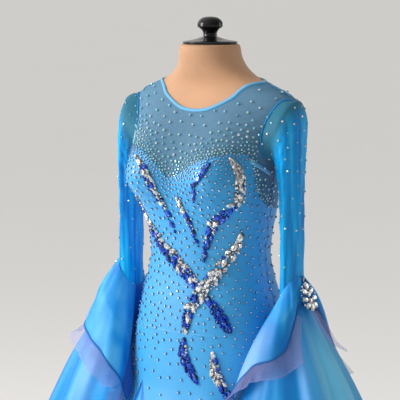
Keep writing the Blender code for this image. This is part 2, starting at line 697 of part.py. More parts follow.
def skirt_point(degrees, z):
    """A point of the skirt's middle surface, flutes included."""
    half_width, front, back, centre_y, flute = table_row(SKIRT, z)
    bearing = (degrees - GORE_SEAMS[0]) % 360.0 + GORE_SEAMS[0]
    gore = sum(1 for seam in GORE_SEAMS[1:] if seam <= bearing)
    start, end = seam_angle(gore), seam_angle(gore + 1)
    wave = 2 * math.pi * (bearing - start) / (end - start)
    unevenness = 1.0 + 0.16 * math.cos(wave / 2) * math.sin(2.1 * gore + 0.7)
    flutes = 0.62 * math.cos(2 * wave) + 0.38 * math.cos(wave)
    out = flute * flutes * unevenness
    across = math.sin(math.radians(degrees))
    ahead = math.cos(math.radians(degrees))
    depth = front if ahead > 0.0 else back
    x = (half_width + out) * signed_power(across, 2.0 / SKIRT_POWER)
    y = centre_y - (depth + out) * signed_power(ahead, 2.0 / SKIRT_POWER)
    return Vector((x, y, z))


def godet_half_angle(seam, z):
    """Half of a godet's angle, straight between the skirt's rows."""
    top = GODET_TOPS[seam % len(GORE_SEAMS)]
    if z >= top:
        return 0.0
    above = min(row for row in SKIRT_ROWS if row >= z)
    below = max(row for row in SKIRT_ROWS if row <= z)
    start, end = (GODET_ANGLE * (1.0 - math.exp((min(row, top) - top) / GODET_OPENS))
                  for row in (above, below))
    return start if above == below else start + (end - start) * (above - z) / (above - below)


def gore_angle(gore, share, z):
    """The bearing at a share of a gore's width, between its godets."""
    edge = math.degrees(SEAM_GAP / table_row(SKIRT, z)[0])
    start = seam_angle(gore) + godet_half_angle(gore, z) + edge
    end = seam_angle(gore + 1) - godet_half_angle(gore + 1, z) - edge
    return start + (end - start) * share


def gore_grid(gore):
    grid = []
    for z in SKIRT_ROWS:
        height = z - SEAM_GAP if z == SKIRT_ROWS[0] else z
        grid.append([skirt_point(gore_angle(gore, k / GORE_COLUMNS, z), height)
                     for k in range(GORE_COLUMNS + 1)])
    return grid


def make_skirt(crepe, organza):
    """Six gores, with a godet let into each seam below its point."""
    for gore in range(len(GORE_SEAMS)):
        sheet_wall(f"skirt_gore_{gore + 1}", gore_grid(gore), SKIRT_WALL, crepe)
    for seam in range(len(GORE_SEAMS)):
        middle = seam_angle(seam)
        top = GODET_TOPS[seam]
        grid = []
        for z in [top - 0.009] + [row for row in SKIRT_ROWS if row < top - 0.01]:
            edge = math.degrees(SEAM_GAP / table_row(SKIRT, z)[0])
            half = godet_half_angle(seam, z) - edge
            grid.append([skirt_point(middle - half + 2 * half * k / GODET_COLUMNS, z)
                         for k in range(GODET_COLUMNS + 1)])
        sheet_wall(f"skirt_godet_{seam + 1}", grid, SKIRT_WALL, organza)


# ---------------------------------------------------------------- floats

def beside_the_skirt(point, clear):
    """The point, moved sideways if it lies nearer to the skirt or bodice than this."""
    if point.z > HIP_SEAM:
        half_width, front, back, centre_y = table_row(FIGURE, point.z)[:4]
        reach = clear + BODY_GAP + BODICE_WALL
    else:
        half_width, front, back, centre_y, flute = table_row(SKIRT, point.z)
        reach = clear + flute + SKIRT_WALL / 2
    y = point.y - centre_y
    share = abs(y / ((front if y < 0 else back) + reach))
    if share >= 1.0:
        return point
    side = (half_width + reach) * (1.0 - share ** SKIRT_POWER) ** (1 / SKIRT_POWER)
    return Vector((max(point.x, side), point.y, point.z))


def elbow_ring(turn, extra, lift):
    """A point on the slanted elbow seam of the left arm; turn in degrees."""
    angle = math.radians(turn)
    return Vector((ARM_X + (SLEEVE_HALF_X + extra) * math.cos(angle),
                   ARM_Y - (SLEEVE_HALF_Y + extra) * math.sin(angle),
                   ELBOW_Z + ELBOW_SLANT * math.cos(angle) + lift))


def fall_radii(drop, turn, spare):
    """Centre and the two radii of the inner float, on one bearing."""
    centre_x, centre_y, radius_x, radius_y, bulge, fold = table_row(FALL, drop)
    swell = bulge * hump(turn - FALL_BULGE_AT, FALL_BULGE_SPREAD)
    if spare:
        ripple = fold + spare
    else:
        ripple = fold * math.cos(math.radians(FALL_FOLDS * turn + 25.0)
                                 + 0.5 * math.sin(math.radians(2 * turn)))
        ripple *= 0.6 + 0.4 * math.cos(math.radians(turn))
    return centre_x, centre_y, radius_x + swell + ripple, radius_y + swell + ripple


def make_fall(side, name, finish):
    """The long inner float, a fluted bell hung from the sleeve's edge."""
    grid = []
    steps = (0.0, 0.06, 0.16, 0.32, 0.52, 0.75, 1.0)
    for drop in steps:
        line = []
        for k in range(FALL_COLUMNS):
            turn = 360.0 * k / FALL_COLUMNS
            cx, cy, rx, ry = fall_radii(drop, turn, 0.0)
            angle = math.radians(turn)
            top = elbow_ring(turn, 0.0, 0.0).z - ELBOW_GAP
            hem = FALL_HEM_Z + 0.008 * math.sin(math.radians(FALL_FOLDS * turn))
            point = Vector((cx + rx * math.cos(angle), cy - ry * math.sin(angle),
                            top + drop * (hem - top)))
            line.append(beside_the_skirt(point, FALL_CLEAR))
        grid.append([Vector((side * p.x, p.y, p.z)) for p in line])
    sheet_wall(f"float_fall_{name}", grid, ORGANZA_WALL, finish, closed=True)


def inside_fall(point, spare):
    """Whether a point lies in the inner float's bell, grown by its folds."""
    turn, drop = 0.0, 0.5
    for _ in range(3):
        centre_x, centre_y = table_row(FALL, drop)[:2]
        turn = math.degrees(math.atan2(centre_y - point.y, point.x - centre_x)) % 360
        top = elbow_ring(turn, 0.0, 0.0).z
        drop = min(1.0, max(0.0, (top - point.z) / (top - FALL_HEM_Z)))
    cx, cy, rx, ry = fall_radii(drop, turn, spare)
    return math.hypot((point.x - cx) / rx, (point.y - cy) / ry) < 1.0


def settle(point, turn, spare):
    """Out of the inner float's bell on this bearing, then clear of the skirt."""
    out = Vector((math.cos(math.radians(turn)), -math.sin(math.radians(turn)), 0.0))
    if inside_fall(point, spare):
        low, high = 0.0, 0.25
        for _ in range(16):
            middle = (low + high) / 2
            if inside_fall(point + out * middle, spare):
                low = middle
            else:
                high = middle
        point = point + out * high
    return beside_the_skirt(point, WRAP_CLEAR)


def wrap_hem(name, along):
    turn, x, y, z = table_row(WRAP_HEMS[name], along)
    return turn, Vector((x, y, z))


def wrap_point(name, along, share):
    """A point of a wrap float, as on the left; share runs from its seam to its hem."""
    turn, hem = wrap_hem(name, along)
    start = elbow_ring(turn, 0.0018, 0.0060)
    out = Vector((math.cos(math.radians(turn)), -math.sin(math.radians(turn)), 0.0))
    reach = (hem - start).length
    belly = min(WRAP_HUMP, 0.12 * reach) * math.sin(math.pi * share)
    point = start.lerp(hem, share) + out * belly
    return settle(point, turn, 0.0050) if share > 0.05 else point


def crin_width(along):
    """Width of the horsehair braid, narrow at its ends and on the inner side."""
    share = max(0.15, min(1.0, 0.3 + (along - CRIN_STARTS) / 0.14,
                          0.4 + (CRIN_ENDS - along) / 0.08))
    return CRIN_WIDTH * share * (1.0 - 0.7 * hump(along - CRIN_TURNED_AT, 0.09))


def make_wrap(side, name, organza, crin):
    """The wrap float round the elbow, with horsehair braid on its hem."""
    columns = [k / WRAP_COLUMNS for k in range(WRAP_COLUMNS + 1)]
    grid = [[wrap_point(name, along, share) for along in columns] for share in WRAP_ROWS]
    last = len(grid) - 1
    for share in (0.5, 1.0):
        line = []
        for k, along in enumerate(columns):
            hem, inner = grid[last][k], grid[last - 1][k]
            along_hem = (grid[last][min(k + 1, WRAP_COLUMNS)]
                         - grid[last][max(k - 1, 0)]).normalized()
            fall_line = hem - inner
            fall_line -= along_hem * fall_line.dot(along_hem)
            out = Vector((hem.x - ARM_X, hem.y - ARM_Y, 0.0)).normalized()
            direction = (fall_line.normalized() + out * 0.45).normalized()
            edge = hem + direction * crin_width(along) * share
            line.append(settle(edge, wrap_hem(name, along)[0], 0.0050))
        grid.append(line)
    grid = [[Vector((side * p.x, p.y, p.z)) for p in line] for line in grid]
    normals = grid_normals(grid, False)
    sheet_wall(f"float_wrap_{name}", grid[:last + 1], ORGANZA_WALL, organza,
               normals=normals[:last + 1])
    kept = [k for k, along in enumerate(columns) if CRIN_STARTS <= along <= CRIN_ENDS]
    start, end = kept[0], kept[-1] + 1
    band = [line[start:end] for line in grid[last:]]
    band[0] = [hem + (after - hem).normalized() * 4 * SEAM_GAP
               for hem, after in zip(band[0], band[1])]
    sheet_wall(f"crin_band_{name}", band, CRIN_WALL, crin,
               normals=[line[start:end] for line in normals[last:]])


def make_tail(side, name, finish):
    """The loose twisted end of the braid, sticking out from under the brooch."""
    middles = [Vector(row[:3]) for row in TAIL]
    steps = 9
    grid = [[], [], []]
    keys = [k / (len(TAIL) - 1) for k in range(len(TAIL))]
    for k in range(steps):
        share = k / (steps - 1)
        middle = Vector([hermite(keys, [m[axis] for m in middles], share)
                         for axis in range(3)])
        twist = math.radians(hermite(keys, [row.twist for row in TAIL], share))
        across = Vector((0.35 * math.sin(twist), math.cos(twist), math.sin(twist)))
        for r, offset in enumerate((-0.5, 0.0, 0.5)):
            point = middle + across * TAIL_WIDTH * offset
            grid[r].append(Vector((side * point.x, point.y, point.z)))
    sheet_wall(f"crin_tail_{name}", grid, CRIN_WALL, finish)


def make_brooch(side, name, finish):
    """A domed oval cluster on the outer side of the elbow."""
    half_tall, half_wide, high = 0.0305, 0.0225, 0.0070
    facing, tilt = math.radians(9.0), math.radians(22.0)
    level = Vector((math.cos(facing), -math.sin(facing), 0.0))
    across = Vector((math.sin(facing), math.cos(facing), 0.0))
    outward = level * math.cos(tilt) + Vector((0.0, 0.0, math.sin(tilt)))
    upward = across.cross(outward) * -1.0
    seat = Vector((0.2394, -0.016, 0.9837))
    points = []
    segments = 20
    for share, height in ((1.0, 0.0), (1.0, 0.35), (0.86, 0.8), (0.5, 1.0)):
        for k in range(segments):
            turn = 2 * math.pi * k / segments
            lobe = 1.0 + 0.06 * math.cos(5 * turn)
            p = (seat + across * (half_wide * share * lobe * math.cos(turn))
                 + upward * (half_tall * share * lobe * math.sin(turn))
                 + outward * (high * height))
            points.append(Vector((side * p.x, p.y, p.z)))
    faces = [(r * segments + k, r * segments + (k + 1) % segments,
              (r + 1) * segments + (k + 1) % segments, (r + 1) * segments + k)
             for r in range(3) for k in range(segments)]
    faces.append(tuple(range(segments)))
    faces.append(tuple(range(3 * segments, 4 * segments)))
    add_object(f"brooch_{name}", points, faces, finish)


# ---------------------------------------------------------------- sprays of stones

def stroke_place(path, share):
    """Degrees and height at a share of a stroke's length."""
    keys = [k / (len(path) - 1) for k in range(len(path))]
    return (hermite(keys, [p[0] for p in path], share),
            hermite(keys, [p[1] for p in path], share))


def on_bodice(degrees, z, out):
    """A point this far out from the flat facets of the bodice panels."""
    wrapped = (degrees + 180.0) % 360.0 - 180.0
    k = sum(1 for column in COLUMNS[1:] if column <= wrapped)
    k = min(k, len(COLUMNS) - 2)
    u = (wrapped - COLUMNS[k]) / (COLUMNS[k + 1] - COLUMNS[k])
    step = (z - HIP_SEAM) / (sweetheart(wrapped) - HIP_SEAM)
    step = min(0.985, max(0.015, step))
    row = sum(1 for limit in BODICE_STEPS[1:-1] if limit <= step)
    v = (step - BODICE_STEPS[row]) / (BODICE_STEPS[row + 1] - BODICE_STEPS[row])
    row += FIRST_BODICE_ROW
    reach = BODY_GAP + BODICE_WALL + out
    low, low_after = (figure_out(*lattice(COLUMNS[k + i], row), reach) for i in (0, 1))
    high, high_after = (figure_out(*lattice(COLUMNS[k + i], row + 1), reach)
                        for i in (0, 1))
    if COLUMNS[k] < 0 and u + v <= 1.0:
        return low + (low_after - low) * u + (high - low) * v
    if COLUMNS[k] < 0:
        return (high_after + (high - high_after) * (1.0 - u)
                + (low_after - high_after) * (1.0 - v))
    if u >= v:
        return low + (low_after - low) * u + (high_after - low_after) * v
    return low + (high - low) * v + (high_after - high) * u


def aside(degrees, z, across):
    """Degrees and height after a small move along the figure."""
    turn = figure_point(degrees + 0.5, z) - figure_point(degrees - 0.5, z)
    rise = (figure_point(degrees, z + 0.001) - figure_point(degrees, z - 0.001)) / 0.002
    a, b, c = turn.dot(turn), turn.dot(rise), rise.dot(rise)
    p, q = across.dot(turn), across.dot(rise)
    spare = a * c - b * b
    return degrees + (p * c - q * b) / spare, z + (a * q - b * p) / spare


def on_skirt(degrees, z, out):
    """A point this far out from the flat facets of the skirt gores."""
    bearing = (degrees - GORE_SEAMS[0]) % 360.0 + GORE_SEAMS[0]
    gore = sum(1 for seam in GORE_SEAMS[1:] if seam <= bearing)
    grid = gore_grid(gore)
    normals = grid_normals(grid, False)
    row = sum(1 for limit in SKIRT_ROWS[1:-1] if limit >= z)
    v = (SKIRT_ROWS[row] - z) / (SKIRT_ROWS[row] - SKIRT_ROWS[row + 1])
    low, high = gore_angle(gore, 0.0, z), gore_angle(gore, 1.0, z)
    share = min(0.995, max(0.005, (bearing - low) / (high - low))) * GORE_COLUMNS
    k = int(share)
    u = share - k
    reach = SKIRT_WALL / 2 + out
    here, after, under_after, under = (
        grid[r][c] - normals[r][c] * reach
        for r, c in ((row, k), (row, k + 1), (row + 1, k + 1), (row + 1, k)))
    if u >= v:
        return here + (after - here) * u + (under_after - after) * v
    return here + (under - here) * v + (under_after - under) * u


def make_spray(stroke, finish, place):
    """A tapering raised stroke on a panel, its top in low facets."""
    steps = 5 * (len(stroke.path) - 1)
    places = []
    for side in (-1.0, 0.0, 1.0):
        line = []
        for k in range(steps + 1):
            share = k / steps
            degrees, z = stroke_place(stroke.path, share)
            ahead = stroke_place(stroke.path, min(1.0, share + 0.02))
            behind = stroke_place(stroke.path, max(0.0, share - 0.02))
            along = figure_point(*ahead) - figure_point(*behind)
            out = figure_out(degrees, z, 0.01) - figure_point(degrees, z)
            width = stroke.half_width * (0.22 + 0.78 * math.sin(math.pi * share) ** 0.6)
            across = along.cross(out).normalized() * side * width
            line.append(aside(degrees, z, across))
        places.append(line)

    def lift(key):
        return SPRAY_LIFT * (0.30 + 0.70 * math.sin(math.pi * key[0] / steps) ** 0.5)

    def under(key):
        return place(*places[key[1]][key[0]], lift(key))

    def top(key):
        high = SPRAY_THICK * (0.55 if key[1] != 1 else 1.0) * (0.75 if key[0] % 2 else 1.0)
        return place(*places[key[1]][key[0]], lift(key) + high)

    cells = [((k, r), (k + 1, r), (k + 1, r + 1), (k, r + 1))
             for r in range(2) for k in range(steps)]
    wall(stroke.name, cells, top, under, finish)


# ---------------------------------------------------------------- the whole part

def main():
    for old in list(bpy.data.objects):
        bpy.data.objects.remove(old, do_unlink=True)
    jersey = material("jersey", (0.62, 0.42, 0.29), 0.75)
    black = material("black_lacquer", (0.012, 0.012, 0.014), 0.2)
    steel = material("stand_steel", (0.05, 0.05, 0.055), 0.35, 0.6)
    crepe = material("sky_crepe", (0.17, 0.47, 0.80), 0.55)
    mesh = material("blue_mesh", (0.10, 0.36, 0.62), 0.6)
    elastic = material("pale_elastic", (0.27, 0.57, 0.80), 0.6)
    organza = material("blue_organza", (0.06, 0.34, 0.75), 0.4)
    crin = material("lilac_horsehair", (0.48, 0.47, 0.72), 0.45)
    crystal = material("crystal", (0.80, 0.82, 0.86), 0.08)
    make_form(jersey)
    make_stand(black, steel)
    bodice = (FIRST_BODICE_ROW, FIRST_YOKE_ROW)
    yoke = (FIRST_YOKE_ROW, YOKE_TOP_ROW)
    for name, first, last in (("front", -90, 90), ("back_left", 90, 180),
                              ("back_right", 180, -90)):
        body_piece(f"bodice_{name}", first, last, bodice, (BODY_GAP, BODICE_WALL), crepe)
        body_piece(f"yoke_{name}", first, last, yoke, (YOKE_GAP, MESH_WALL), mesh,
                   hole=True)
    make_binding(elastic)
    for side, name in SIDES:
        sheet_wall(f"sleeve_{name}", sleeve_grid(side), MESH_WALL, mesh, closed=True)
        make_fall(side, name, organza)
        make_wrap(side, name, organza, crin)
        make_tail(side, name, crin)
        make_brooch(side, name, crystal)
    make_skirt(crepe, organza)
    for stroke in SPRAYS:
        make_spray(stroke, crystal, on_bodice)
    for stroke in SKIRT_SPRAYS:
        make_spray(stroke, crystal, on_skirt)


main()
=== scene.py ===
"""Looks of the ballroom gown on its limbless dress form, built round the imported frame.

Cloth is redrawn as thin smooth shells on the forms of its solids, with soft folds, sewn
tapes, horsehair braid and stones. Metres, +Z up, the gown faces -Y. Angles are in degrees:
on the body 0 is the centre front and 90 the wearer's left.
"""

import math
import random
from collections import namedtuple
from math import cos, pi, radians, sin

import bpy
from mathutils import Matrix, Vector, noise


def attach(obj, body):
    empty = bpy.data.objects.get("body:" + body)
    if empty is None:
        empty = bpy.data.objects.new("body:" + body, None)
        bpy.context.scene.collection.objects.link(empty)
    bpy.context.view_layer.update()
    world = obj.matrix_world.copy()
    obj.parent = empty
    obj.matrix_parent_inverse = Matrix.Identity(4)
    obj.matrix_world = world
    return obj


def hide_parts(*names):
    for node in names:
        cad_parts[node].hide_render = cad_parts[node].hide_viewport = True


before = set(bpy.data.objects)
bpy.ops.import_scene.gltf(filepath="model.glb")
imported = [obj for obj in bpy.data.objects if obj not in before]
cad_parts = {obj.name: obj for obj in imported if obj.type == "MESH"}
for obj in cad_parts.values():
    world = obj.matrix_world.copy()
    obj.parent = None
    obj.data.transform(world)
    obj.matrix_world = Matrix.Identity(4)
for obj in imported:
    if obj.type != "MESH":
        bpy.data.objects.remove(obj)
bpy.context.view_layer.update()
random.seed(41)
SIDES = ((1, "left"), (-1, "right"))

# ---------------------------------------------------------------- sizes shared with the solids

SEAM_GAP = 0.0004
BODY_GAP = 0.0011
BODICE_WALL = 0.0016
SKIRT_WALL = 0.0018
YOKE_OUT = 0.0016 + 0.0010 / 2      # the yoke's gap and half of its wall
FORM_BOTTOM = 0.720
HIP_SEAM = 0.900
NECK_TOP = 1.4670
NECK_CENTRE = (0.0, -0.008)
BUST_HEIGHT = 1.205
BUST_APART = 0.087
BUST_OUT = 0.050
BUST_SPREAD = 0.064
BUST_RISE = 0.082
BUST_FALL = 0.050
BINDING_WIDTH = 0.0075
ARM_X, ARM_Y = 0.1990, -0.0120
SLEEVE_HALF_X, SLEEVE_HALF_Y = 0.0179, 0.0325
ELBOW_Z = 0.987
ELBOW_SLANT = 0.031
ELBOW_GAP = 0.0024
FALL_HEM_Z = 0.600
CRIN_WIDTH = 0.040
WRAP_CLEAR = 0.007
FALL_CLEAR = 0.019
FALL_SPARE = 0.0050                 # a wrap keeps this far out from the inner float's folds
FOOT_THICK = 0.014

# The form's sections without its cups: z, half width, front, back, centre y, and the
# outline's power (2 is an ellipse, more is squarer).
FIGURE = (
    (0.72, 0.158, 0.104, 0.114, 0.0, 2.2), (0.78, 0.167, 0.117, 0.124, 0.0, 2.2),
    (0.84, 0.1665, 0.119, 0.125, 0.0, 2.2), (0.9, 0.159, 0.116, 0.118, -0.001, 2.15),
    (0.96, 0.148, 0.108, 0.105, -0.002, 2.1), (1.01, 0.135, 0.0995, 0.094, -0.003, 2.05),
    (1.05, 0.1285, 0.097, 0.0895, -0.004, 2.0), (1.09, 0.131, 0.098, 0.092, -0.004, 2.05),
    (1.13, 0.1375, 0.102, 0.098, -0.004, 2.1), (1.17, 0.1435, 0.1065, 0.104, -0.003, 2.15),
    (1.21, 0.1475, 0.11, 0.108, -0.002, 2.2), (1.25, 0.151, 0.1045, 0.11, 0.0, 2.3),
    (1.29, 0.165, 0.0915, 0.108, 0.003, 2.4), (1.32, 0.177, 0.076, 0.102, 0.006, 2.35),
    (1.345, 0.185, 0.0635, 0.092, 0.007, 2.2), (1.358, 0.1855, 0.0575, 0.084, 0.007, 2.1),
    (1.37, 0.173, 0.053, 0.0765, 0.006, 2.05), (1.382, 0.145, 0.05, 0.07, 0.005, 2.0),
    (1.394, 0.118, 0.0495, 0.066, 0.003, 2.0), (1.408, 0.092, 0.053, 0.0635, 0.0, 2.0),
    (1.425, 0.0735, 0.057, 0.0615, -0.003, 2.0), (1.445, 0.064, 0.06, 0.0605, -0.007, 2.0),
    (1.46, 0.0612, 0.0608, 0.0608, -0.008, 2.0), (1.467, 0.058, 0.058, 0.058, -0.008, 2.0),
)

# The skirt's sections: z, half width, front, back, centre y and depth of its flutes.
SKIRT = (
    (0.07, 0.44, 0.418, 0.455, 0.014, 0.068), (0.2, 0.396, 0.372, 0.408, 0.012, 0.06),
    (0.34, 0.345, 0.318, 0.35, 0.01, 0.05), (0.48, 0.288, 0.258, 0.285, 0.008, 0.038),
    (0.6, 0.236, 0.201, 0.22, 0.005, 0.024), (0.68, 0.202, 0.162, 0.176, 0.003, 0.013),
    (0.74, 0.183, 0.137, 0.145, 0.001, 0.005), (0.79, 0.1735, 0.1245, 0.131, 0.0, 0.0005),
    (0.84, 0.17, 0.1225, 0.1285, 0.0, 0.0), (0.9, 0.1625, 0.1195, 0.1215, -0.001, 0.0),
)
SKIRT_POWER = 2.18
SKIRT_ROWS = (0.9, 0.84, 0.79, 0.745, 0.69, 0.6, 0.48, 0.35, 0.2, 0.07)
GORE_SEAMS = (-31.0, 22.5, 86.0, 148.0, 207.0, 266.0)
GODET_TOPS = (0.79, 0.745, 0.745, 0.745, 0.745, 0.745)
GODET_ANGLE = 13.0         # half of the angle that a godet takes at the hem
GODET_OPENS = 0.045        # how quickly a godet widens below its point

# Edges as (angle, height): the bodice's sweetheart front and low back, and the neckline.
SWEETHEART = (
    (-90, 1.152), (-81, 1.162), (-73, 1.19), (-64, 1.248), (-56, 1.266), (-40, 1.266),
    (-24, 1.256), (-12, 1.232), (-4, 1.21), (6, 1.222), (16, 1.24), (32, 1.256), (48, 1.262),
    (57, 1.26), (65, 1.242), (73, 1.187), (81, 1.16), (90, 1.152),
)
BACK_EDGE = ((90, 1.152), (130, 1.132), (180, 1.105))
NECKLINE = (
    (0, 1.3405), (5, 1.3422), (10, 1.3466), (16, 1.3548), (24, 1.3665), (32, 1.3762), (40, 1.3832),
    (50, 1.389), (62, 1.3925), (76, 1.3941), (90, 1.3945), (135, 1.4), (180, 1.404),
)

# Columns round half of the figure; the other half mirrors them. Rows up the yoke.
HALF_COLUMNS = (0, 8, 16, 24, 32, 40, 48, 56, 64, 73, 81, 90, 100, 111, 124, 138, 152, 166, 180)
YOKE_STEPS = (0.0, 0.19, 0.38, 0.49, 0.61, 0.74, 0.87, 1.0)

# How far the armhole's front and back edges lean towards the middle: (z, angle).
ARMHOLE_LEAN = (
    (1.225, 0.0), (1.25, 1.5), (1.27, 5.5), (1.288, 10.5), (1.316, 16.0), (1.344, 14.5),
    (1.362, 6.0), (1.376, 0.0),
)
FRONT_ARMHOLE, BACK_ARMHOLE = 73, 111
LOW_ARM, HIGH_ARM = YOKE_STEPS[2], YOKE_STEPS[6]       # the armhole lies open between these rows

# The sleeve's rings from cap to elbow: outer x and z, underarm x and z, centre y, half depth.
SLEEVE = (
    (0.203, 1.359, 0.1585, 1.241, -0.001, 0.051), (0.213, 1.337, 0.168, 1.226, -0.004, 0.048),
    (0.216, 1.3, 0.1745, 1.206, -0.008, 0.0425), (0.2168, 1.256, 0.179, 1.186, -0.011, 0.038),
    (0.217, 1.208, 0.1808, 1.16, -0.012, 0.035), (0.2169, 1.156, 0.1811, 1.125, -0.012, 0.033),
    (0.2169, 1.09, 0.1811, 1.062, -0.012, 0.0325), (0.2169, 1.018, 0.1811, 0.956, -0.012, 0.0325),
)

# The long inner float, from the elbow (drop 0) to its hem (drop 1): drop, centre x and y,
# radius in x and y, bulge in front of the hip, and depth of its folds.
FALL = (
    (0.0, 0.199, -0.012, 0.0179, 0.0325, 0.0, 0.0),
    (0.06, 0.201, -0.012, 0.0225, 0.036, 0.0, 0.001),
    (0.15, 0.205, -0.013, 0.0365, 0.047, 0.003, 0.002),
    (0.28, 0.214, -0.014, 0.059, 0.069, 0.012, 0.0045),
    (0.42, 0.226, -0.016, 0.082, 0.091, 0.024, 0.0075),
    (0.56, 0.236, -0.018, 0.101, 0.108, 0.034, 0.01),
    (0.76, 0.26, -0.022, 0.118, 0.124, 0.01, 0.013),
    (1.0, 0.288, -0.026, 0.134, 0.138, 0.0, 0.017),
)
FALL_FOLDS = 8
FALL_BULGE_AT, FALL_BULGE_SPREAD = 128.0, 38.0

# Hem of a wrap float as on the wearer's left, from the brooch down the front edge, round and
# up the back edge: share along it, the angle on the elbow that it hangs from (0 is the outer
# side, 90 the front, 180 the inner side), x, y, z. The right one differs over its front.
WRAP_HEM = (
    (0.0, 14, 0.2262, -0.021, 1.011), (0.06, 26, 0.231, -0.0229, 0.99),
    (0.12, 38, 0.233, -0.042, 0.963), (0.18, 50, 0.235, -0.062, 0.9298),
    (0.25, 66, 0.239, -0.09, 0.8967), (0.31, 82, 0.2262, -0.117, 0.8778),
    (0.37, 98, 0.1973, -0.134, 0.8663), (0.43, 116, 0.1745, -0.137, 0.8441),
    (0.49, 134, 0.1445, -0.13, 0.7969), (0.56, 152, 0.145, -0.118, 0.752),
    (0.64, 170, 0.17, -0.06, 0.8425), (0.73, 194, 0.173, 0.0, 0.925),
    (0.82, 226, 0.2, 0.085, 0.83), (0.89, 264, 0.23, 0.105, 0.83), (0.95, 304, 0.247, 0.064, 0.89),
    (1.0, 346, 0.2262, -0.003, 1.011),
)
RIGHT_FRONT = (
    (0.12, 38, 0.239, -0.046, 0.9546), (0.18, 50, 0.256, -0.068, 0.9196),
    (0.25, 66, 0.2554, -0.094, 0.8885), (0.31, 82, 0.2252, -0.121, 0.8654),
    (0.37, 98, 0.1871, -0.135, 0.8436), (0.43, 116, 0.1569, -0.137, 0.8148),
    (0.49, 134, 0.1357, -0.13, 0.7853), (0.56, 152, 0.1377, -0.115, 0.7464),
)
WRAP_HEMS = {"left": WRAP_HEM, "right": WRAP_HEM[:2] + RIGHT_FRONT + WRAP_HEM[10:]}
WRAP_HUMP = 0.010          # how far the wrap bellies out between its seam and its hem
CRIN_STARTS, CRIN_ENDS = 0.13, 0.96
CRIN_TURNED_AT = 0.69      # the braid is turned under beside the body

# Middle line of the braid's loose end, and how far it has turned over: x, y, z, angle.
TAIL = (
    (0.2538, -0.013, 0.9548, 20), (0.2735, -0.003, 0.9205, 40), (0.286, 0.001, 0.902, 95),
    (0.3, 0.003, 0.892, 130), (0.3165, 0.004, 0.885, 140),
)
TAIL_WIDTH = 0.016

Stroke = namedtuple("Stroke", "name half_width blue_start blue_end lean path")

# Sprays of large stones: each a tapering stroke through (angle, z) points, with its share
# of sapphire at the start and at the end, and how much more of it lies on the stroke's
# left as it runs (a negative lean: on its right).
SPRAYS = (
    Stroke("spray_right_bust", 0.0090, 0.05, 0.75, -0.30,
           ((-31, 1.248), (-20, 1.222), (-16, 1.199), (-13, 1.160), (-6, 1.100))),
    Stroke("spray_left_bust_arc", 0.0065, 1.0, 0.95, 0.0,
           ((31, 1.244), (28, 1.226), (22, 1.200), (17, 1.167))),
    Stroke("spray_midriff", 0.0065, -0.2, 0.95, 0.0,
           ((1, 1.175), (4, 1.148), (9, 1.118), (17, 1.074))),
    Stroke("spray_left_bust", 0.0125, -0.25, 0.90, 0.1,
           ((46, 1.250), (53, 1.234), (58, 1.210), (57, 1.178), (44, 1.150), (31, 1.122),
            (25, 1.085), (22, 1.045))),
    Stroke("spray_right_waist", 0.0150, 0.20, 0.60, -0.60,
           ((-58, 1.176), (-52, 1.130), (-34, 1.088), (-17, 1.060), (-1, 1.034), (7, 1.015),
            (14, 0.9985))),
    Stroke("spray_left_hip", 0.0120, 0.95, 1.0, 0.0, ((24, 0.974), (34, 0.939), (41, 0.908))),
    Stroke("spray_left_waist", 0.0150, -0.25, 0.75, -0.30,
           ((56, 1.096), (50, 1.066), (36, 1.031), (24, 1.000), (13, 0.966), (7, 0.930),
            (6, 0.907))),
    Stroke("spray_skirt_front", 0.0120, 0.55, 1.0, -0.3,
           ((5, 0.893), (5, 0.862), (9, 0.835), (15, 0.806))),
    Stroke("spray_skirt_left", 0.0110, 0.05, 0.40, 0.3,
           ((27, 0.868), (28, 0.836), (33, 0.806), (42, 0.766))),
)


def hermite(xs, ys, x):
    """Smooth value at x through the points, with three-point slopes."""
    if x <= xs[0]:
        return ys[0]
    if x >= xs[-1]:
        return ys[-1]
    i = 0
    while xs[i + 1] < x:
        i += 1
    width = xs[i + 1] - xs[i]
    t = (x - xs[i]) / width
    rise = (ys[i + 1] - ys[i]) / width

    def slope(k):
        if k == 0 or k == len(xs) - 1:
            return rise
        before = (ys[k] - ys[k - 1]) / (xs[k] - xs[k - 1])
        after = (ys[k + 1] - ys[k]) / (xs[k + 1] - xs[k])
        return 2.0 * before * after / (before + after) if before * after > 0.0 else 0.0

    start, end = slope(i) * width, slope(i + 1) * width
    return ((2 * t ** 3 - 3 * t ** 2 + 1) * ys[i] + (t ** 3 - 2 * t ** 2 + t) * start
            + (3 * t ** 2 - 2 * t ** 3) * ys[i + 1] + (t ** 3 - t ** 2) * end)


def table_row(table, x):
    """The table's other columns at key x, as a list."""
    keys = [row[0] for row in table]
    return [hermite(keys, [row[k] for row in table], x) for k in range(1, len(table[0]))]


def through(rows, share):
    """Smooth values at a share of the way through evenly spaced rows."""
    keys = [k / (len(rows) - 1) for k in range(len(rows))]
    return [hermite(keys, list(column), share) for column in zip(*rows)]


def signed_power(value, power):
    return math.copysign(abs(value) ** power, value)


def hump(value, spread):
    return math.exp(-(value / spread) ** 2)


def clamped(value):
    return max(0.0, min(1.0, value))


def outward(point, x=0.0, y=0.0):
    """The level direction from an upright axis to the point."""
    return Vector((point.x - x, point.y - y, 0.0)).normalized()


def bearing(turn):
    """The level direction at a turn round the elbow: 0 is the outer side, 90 the front."""
    return Vector((cos(radians(turn)), -sin(radians(turn)), 0.0))


def reach_out(inside, furthest, steps):
    """The ends of the last step between where inside() holds and where it doesn't."""
    low, high = 0.0, furthest
    for _ in range(steps):
        middle = (low + high) / 2
        if inside(middle):
            low = middle
        else:
            high = middle
    return low, high


# ---------------------------------------------------------------- the figure and the skirt

